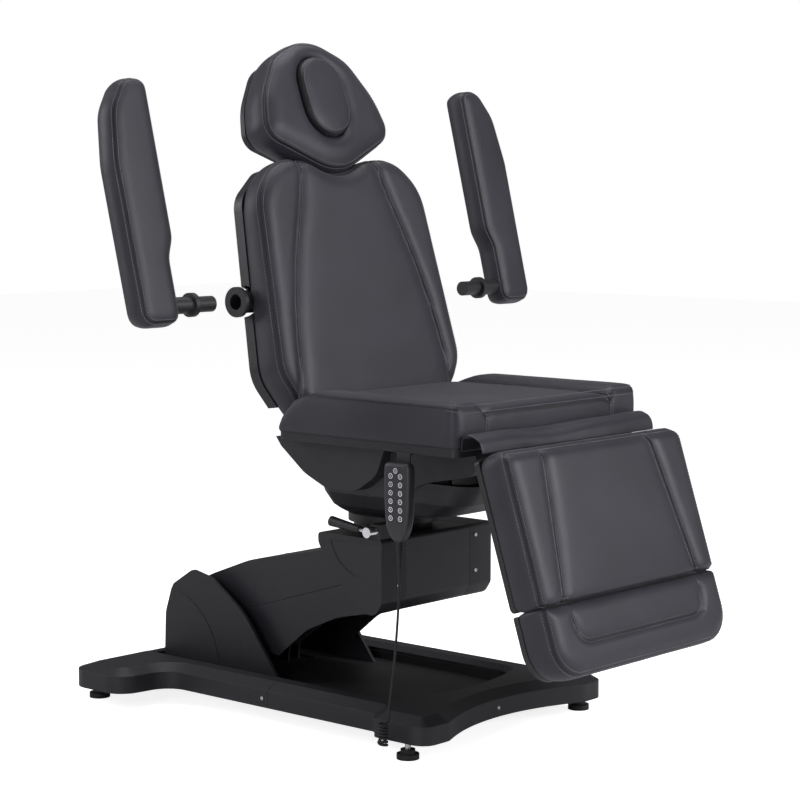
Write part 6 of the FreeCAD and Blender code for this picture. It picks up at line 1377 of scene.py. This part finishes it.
def screw_piece(radius, height):
    """Pan-head screw with a cross recess, its seat at the origin and its head along Z."""
    profile = [(radius * 0.6, -1.2), (radius, -0.05), (radius, height * 0.4), (radius * 0.93, height * 0.75)]
    crown = (0.8, 0.66, 0.58, 0.5, 0.4, 0.3, 0.22, 0.15, 0.07)
    profile += [(radius * share, height * (1.02 - 0.1 * share)) for share in crown]
    work = lathe_work(profile, 40)
    arm, half = radius * 0.6 * UNIT, radius * 0.13 * UNIT
    for vertex in work.verts:
        a, b = abs(vertex.co.x), abs(vertex.co.y)
        if vertex.co.z > height * 0.8 * UNIT and ((a < arm and b < half) or (b < arm and a < half)):
            vertex.co.z -= height * 0.6 * UNIT
    return kept(work, "screw")


def loose_places(node):
    """Vertex places of every separate solid of a CAD node, in metres."""
    work = bmesh.new()
    work.from_mesh(frame["nodes"][node].data)
    bmesh.ops.remove_doubles(work, verts=work.verts, dist=1e-6)
    seen, groups = set(), []
    for vertex in work.verts:
        if vertex in seen:
            continue
        group, wave = [], [vertex]
        seen.add(vertex)
        while wave:
            current = wave.pop()
            group.append(tuple(current.co))
            for edge in current.link_edges:
                other = edge.other_vert(current)
                if other not in seen:
                    seen.add(other)
                    wave.append(other)
        groups.append(np.array(group))
    work.free()
    return groups


def screw_spots(node, head):
    """Seat, outward direction and turn of every screw in a node, from its solids."""
    spots = []
    for index, places in enumerate(loose_places(node)):
        middle = places.mean(axis=0)
        axis = np.linalg.eigh(np.cov((places - middle).T))[1][:, 2]
        reach = (places - middle) @ axis
        wide = np.linalg.norm((places - middle) - reach[:, None] * axis, axis=1)
        if np.mean(reach[wide > wide.max() * 0.9]) < 0:
            axis, reach = -axis, -reach
        seat = middle + axis * (reach.max() - head * UNIT)
        spots.append((Vector(seat), Vector(axis), 0.4 + index * 1.3))
    return spots


def key_pieces():
    """Raised key, printed ring and arrow of the hand control, each with its face along Z."""
    dome = kept(lathe_work([(5.4, -0.3), (5.6, 0.3), (5.3, 0.75), (4.2, 1.05), (2.4, 1.3), (0.8, 1.38)], 28), "key")
    ring = kept(lathe_work([(5.2, 0.92), (5.2, 1.2), (4.1, 1.2), (4.1, 0.92)], 28, hollow=True), "ring")
    work = bmesh.new()
    corners = [(-1.5, -1.0), (1.5, -1.0), (0.0, 1.7)]
    low, high = [[work.verts.new((x * UNIT, y * UNIT, z * UNIT)) for x, y in corners] for z in (1.2, 1.46)]
    work.faces.new(low[::-1])
    work.faces.new(high)
    for k in range(3):
        work.faces.new((low[k], low[(k + 1) % 3], high[(k + 1) % 3], high[k]))
    return dome, ring, kept(work, "arrow")


def joined(pieces, name):
    """One mesh of several pieces with their own materials."""
    with bpy.context.temp_override(active_object=pieces[0], selected_editable_objects=pieces):
        bpy.ops.object.join()
    pieces[0].name = name
    return pieces[0]


CASE_LEVELS = [
    (600, 23, 5.5), (599, 28, 8.8), (596.5, 31, 10.6), (591, 33, 11.5), (575, 33.8, 11.5), (545, 33.4, 11.5),
    (515, 32.4, 11.5), (492, 30.6, 11.5), (476, 27.8, 11.5), (464, 24, 11.2), (455, 19.2, 10.6), (448, 14, 9.6),
    (444, 10.5, 8.2), (442, 8, 6.5),
]


def hand_control_case():
    """Slim case of the hand control: rounded shoulders, flat face and a tapered foot."""
    angles = np.linspace(0, 2 * math.pi, 64, endpoint=False)
    across, through = [np.sign(turn) * np.abs(turn) ** 0.34 for turn in (np.cos(angles), np.sin(angles))]
    rings = [np.array([mm(-308.5 + deep * b, -291 + half * a, z) for a, b in zip(across, through)])
             for z, half, deep in CASE_LEVELS]
    piece = tube("hand_control_case", rings, finish_of("handset_plastic"), "flat")
    return dressed(piece, "handset", ["handset_shell"])


# Steps, one for each group of pieces

class CHAIR_OT_camera(bpy.types.Operator):
    """Set the camera where the photograph was taken from"""
    bl_idname = "chair.camera"
    bl_label = "Camera"

    def execute(self, context):
        yaw, pitch = math.radians(CAMERA["yaw"]), math.radians(CAMERA["pitch"])
        data = bpy.data.cameras.new("camera")
        data.sensor_fit = "HORIZONTAL"
        data.sensor_width = SENSOR_WIDTH
        data.lens = CAMERA["focal"] * SENSOR_WIDTH / PHOTO_WIDTH
        data.clip_end = 60
        camera = linked("camera", data)
        turn = Matrix.Rotation(yaw, 4, "Z") @ Matrix.Rotation(math.pi / 2 - pitch, 4, "X")
        camera.matrix_world = Matrix.Translation(mm(*CAMERA["place"])) @ turn
        context.scene.camera = camera
        return {"FINISHED"}


class CHAIR_OT_cord(bpy.types.Operator):
    """Hang the hand control's cord and its ribbed sleeve"""
    bl_idname = "chair.cord"
    bl_label = "Cord"

    def execute(self, context):
        hand_control_cord()
        strain_relief()
        return {"FINISHED"}


class CHAIR_OT_seat(bpy.types.Operator):
    """Upholster the seat"""
    bl_idname = "chair.seat"
    bl_label = "Seat"

    def execute(self, context):
        pad = SeatPad()
        upholstered(pad, "seat", ["seat_cushion"], seed=1)
        sew_channels(pad, "seat")
        sew_edge(pad, "seat", keep=lambda ring: ring[:, 1] < 30)
        for side in (-1, 1):
            for offset in (-4.5, 4.5):
                x = side * pad.SEAM_X + offset
                top = pad.at(np.array([(x, pad.FRONT_Y + 1.0)]))[0][2] / UNIT
                sew("seat", np.array([mm(x, pad.FRONT_Y - 3.0, z) for z in np.linspace(top - 6, 642, 14)]))
        return {"FINISHED"}


class CHAIR_OT_back(bpy.types.Operator):
    """Upholster the backrest"""
    bl_idname = "chair.back"
    bl_label = "Backrest"

    def execute(self, context):
        pad = BackPad()
        upholstered(pad, "back", ["back_cushion"], seed=2)
        sew_channels(pad, "back")
        sew_edge(pad, "back", inside=6, below=6)
        return {"FINISHED"}


class CHAIR_OT_headrest(bpy.types.Operator):
    """Upholster the headrest and its plug"""
    bl_idname = "chair.headrest"
    bl_label = "Headrest"

    def execute(self, context):
        headrest_pad()
        headrest_plug()
        return {"FINISHED"}


class CHAIR_OT_armrests(bpy.types.Operator):
    """Upholster both armrests"""
    bl_idname = "chair.armrests"
    bl_label = "Armrests"

    def execute(self, context):
        for hand, side, inner in (("right", -1, 489), ("left", 1, 547)):
            pad, body = ArmPad("arm_cushion_" + hand, side, inner), "pad_" + hand
            upholstered(pad, body, ["arm_" + body], cap_share=0.8, free_depth=0.5, seed=3 + side)
            sew_edge(pad, body, inside=4.5, below=4.5)
        return {"FINISHED"}


class CHAIR_OT_legrest(bpy.types.Operator):
    """Upholster the leg rest and the footrest"""
    bl_idname = "chair.legrest"
    bl_label = "Leg rest"

    def execute(self, context):
        pad = LegPad()
        upholstered(pad, "legrest", ["legrest_cushion"], seed=5)
        sew_channels(pad, "legrest")
        sew_edge(pad, "legrest")
        foot = FootPad()
        upholstered(foot, "footrest", ["footrest_cushion"], cap_share=0.7, seed=7)
        sew_channels(foot, "footrest", offset=4.0)
        sew_edge(foot, "footrest", keep=lambda ring: ring[:, 1] < foot.TOP - 6)
        return {"FINISHED"}


class CHAIR_OT_apron(bpy.types.Operator):
    """Lay the leather flap over the gap between seat and leg rest"""
    bl_idname = "chair.apron"
    bl_label = "Flap"

    def execute(self, context):
        apron_sheet()
        return {"FINISHED"}


class CHAIR_OT_stitches(bpy.types.Operator):
    """Sew every remembered row of stitches"""
    bl_idname = "chair.stitches"
    bl_label = "Stitches"

    def execute(self, context):
        tree = stitch_tree()
        for body, lines in SEAM_LINES.items():
            stitched(tree, body, lines)
        return {"FINISHED"}


class CHAIR_OT_fasteners(bpy.types.Operator):
    """Set the cross-head screws of the covers"""
    bl_idname = "chair.fasteners"
    bl_label = "Screws"

    def execute(self, context):
        tree = spread_tree()
        for part, radius, height in (("head", 4.5, 2.2), ("base", 4.0, 2.0)):
            node, small = part + "_screws", screw_piece(radius, height)
            spots = screw_spots(node, height)
            piece = scattered(tree, part + "_fasteners", small, spots, finish_of("bright_steel"))
            bpy.data.objects.remove(small)
            dressed(piece, BODY_OF[node], [node])
        return {"FINISHED"}


class CHAIR_OT_keys(bpy.types.Operator):
    """Set the keys and their printed rings and arrows on the hand control"""
    bl_idname = "chair.keys"
    bl_label = "Keys"

    def execute(self, context):
        tree = spread_tree()
        pitch = sizes().key_pitch / UNIT
        spots = [(-291, 578 + 0.4 * pitch, 0.0)]
        for row in range(6):
            for side in (-1, 1):
                spots.append((-291 + side * 12.5, 578 - pitch * (row + 0.25), 0.0 if side < 0 else math.pi))
        heading = Vector((-1, 0, 0))
        face = [(mm(-320, y, z), heading, spin) for y, z, spin in spots]
        dome, ring, arrow = key_pieces()
        pieces = [scattered(tree, "keys", dome, face, finish_of("keypad_film")),
                  scattered(tree, "rings", ring, face, finish_of("marks")),
                  scattered(tree, "arrows", arrow, face, finish_of("marks"))]
        for small in (dome, ring, arrow):
            bpy.data.objects.remove(small)
        dressed(joined(pieces, "hand_control_keys"), "handset", ["handset_keypad"])
        hand_control_case()
        return {"FINISHED"}


class CHAIR_OT_covers(bpy.types.Operator):
    """Finish the covers, frames, shafts and feet"""
    bl_idname = "chair.covers"
    bl_label = "Covers and frames"

    def execute(self, context):
        for node, piece in frame["nodes"].items():
            if node not in REPLACED:
                piece.data.materials.clear()
                piece.data.materials.append(finish_of(SLOT_OF[node]))
        return {"FINISHED"}


class CHAIR_OT_stage(bpy.types.Operator):
    """Lay the pale floor and set the soft studio light"""
    bl_idname = "chair.stage"
    bl_label = "Floor and light"

    def execute(self, context):
        corners = [(x, y, 0) for x, y in box_corners(FLOOR_HALF, -FLOOR_HALF, FLOOR_HALF)]
        floor = made("floor", corners, [(0, 1, 2, 3)], floor_finish())
        lit_world()
        for lamp in LAMPS:
            area_lamp(*lamp)
        context.scene.view_settings.view_transform = "Standard"
        return {"FINISHED"}


def floor_finish():
    """Pale floor that the camera sees as white, apart from the chair's soft shadow."""
    material = bpy.data.materials.new("studio floor")
    material.use_nodes = True
    tree = material.node_tree
    tree.nodes.clear()
    plain = added(tree, "ShaderNodeBsdfDiffuse", None, {"Color": (0.8, 0.8, 0.8)})
    glow = added(tree, "ShaderNodeEmission", None, {"Strength": FLOOR_GLOW})
    both = added(tree, "ShaderNodeAddShader", None, {0: plain.outputs[0], 1: glow.outputs[0]})
    split_for_camera(tree, plain, both, "ShaderNodeOutputMaterial")
    return material


def split_for_camera(tree, lighting, seen, output):
    """Use one shader for what the camera sees directly and another for the light it sends round the scene."""
    path = added(tree, "ShaderNodeLightPath").outputs["Is Camera Ray"]
    mix = added(tree, "ShaderNodeMixShader", None, {0: path, 1: lighting.outputs[0], 2: seen.outputs[0]})
    added(tree, output, None, {0: mix.outputs[0]})


def lit_world():
    """Soft light from all round, behind a background that the camera sees as white."""
    world = bpy.data.worlds.new("studio")
    bpy.context.scene.world = world
    world.use_nodes = True
    tree = world.node_tree
    tree.nodes.clear()
    sky, white = [added(tree, "ShaderNodeBackground", None, {"Color": (1, 1, 1), "Strength": strength})
                  for strength in (SKY, 1.0)]
    split_for_camera(tree, sky, white, "ShaderNodeOutputWorld")


def area_lamp(name, place, target, size, power):
    data = bpy.data.lights.new(name, "AREA")
    data.shape = "RECTANGLE"
    data.size, data.size_y = size
    data.energy = power
    data.color = LAMP_TINT
    lamp = linked(name, data)
    direction = Vector(target) - Vector(place)
    lamp.rotation_euler = direction.to_track_quat("-Z", "Y").to_euler()
    lamp.location = place


SENSOR_WIDTH, PHOTO_WIDTH = 36, 800
CAMERA = {"place": (-3626.0, -3226.0, 1171.0), "yaw": -48.514, "pitch": 5.7639, "focal": 2266.68}
FLOOR_HALF = 14
FLOOR_GLOW = 0.84
SKY = 0.16
LAMP_TINT = (0.965, 0.955, 1.0)
LAMPS = [
    ("overhead", (0.2, 0.4, 3.6), (0, 0, 0.4), (2.6, 1.6), 60),
    ("front", (1.4, -4.4, 2.4), (0, -0.2, 0.6), (2.0, 2.4), 190),
    ("left", (-4.6, -1.0, 1.6), (0, 0, 0.7), (0.9, 2.6), 60),
    ("rim", (-2.4, 3.4, 2.4), (0, 0, 0.8), (0.8, 2.4), 60),
]


class CHAIR_PT_panel(bpy.types.Panel):
    """Steps and sizes of the chair's dressing"""
    bl_idname = "CHAIR_PT_panel"
    bl_label = "Treatment chair"
    bl_space_type = "VIEW_3D"
    bl_region_type = "UI"
    bl_category = "Chair"

    def draw(self, context):
        layout = self.layout
        for group in (context.scene.chair_sizes, context.scene.chair_colours):
            box = layout.box()
            for name in group.__annotations__:
                box.prop(group, name)
        for step in STEPS:
            layout.operator(step.bl_idname)


STEPS = [CHAIR_OT_camera, CHAIR_OT_cord, CHAIR_OT_seat, CHAIR_OT_back, CHAIR_OT_headrest, CHAIR_OT_armrests,
         CHAIR_OT_legrest, CHAIR_OT_apron, CHAIR_OT_stitches, CHAIR_OT_fasteners, CHAIR_OT_keys, CHAIR_OT_covers,
         CHAIR_OT_stage]
CLASSES = [ChairSizes, ChairColours] + STEPS + [CHAIR_PT_panel]


def register():
    for entry in CLASSES:
        bpy.utils.register_class(entry)
    bpy.types.Scene.chair_sizes = PointerProperty(type=ChairSizes)
    bpy.types.Scene.chair_colours = PointerProperty(type=ChairColours)


def unregister():
    del bpy.types.Scene.chair_sizes
    del bpy.types.Scene.chair_colours
    for entry in reversed(CLASSES):
        bpy.utils.unregister_class(entry)


def main():
    register()
    for step in STEPS:
        group, name = step.bl_idname.split(".")
        getattr(getattr(bpy.ops, group), name)()


if __name__ == "__main__":
    main()
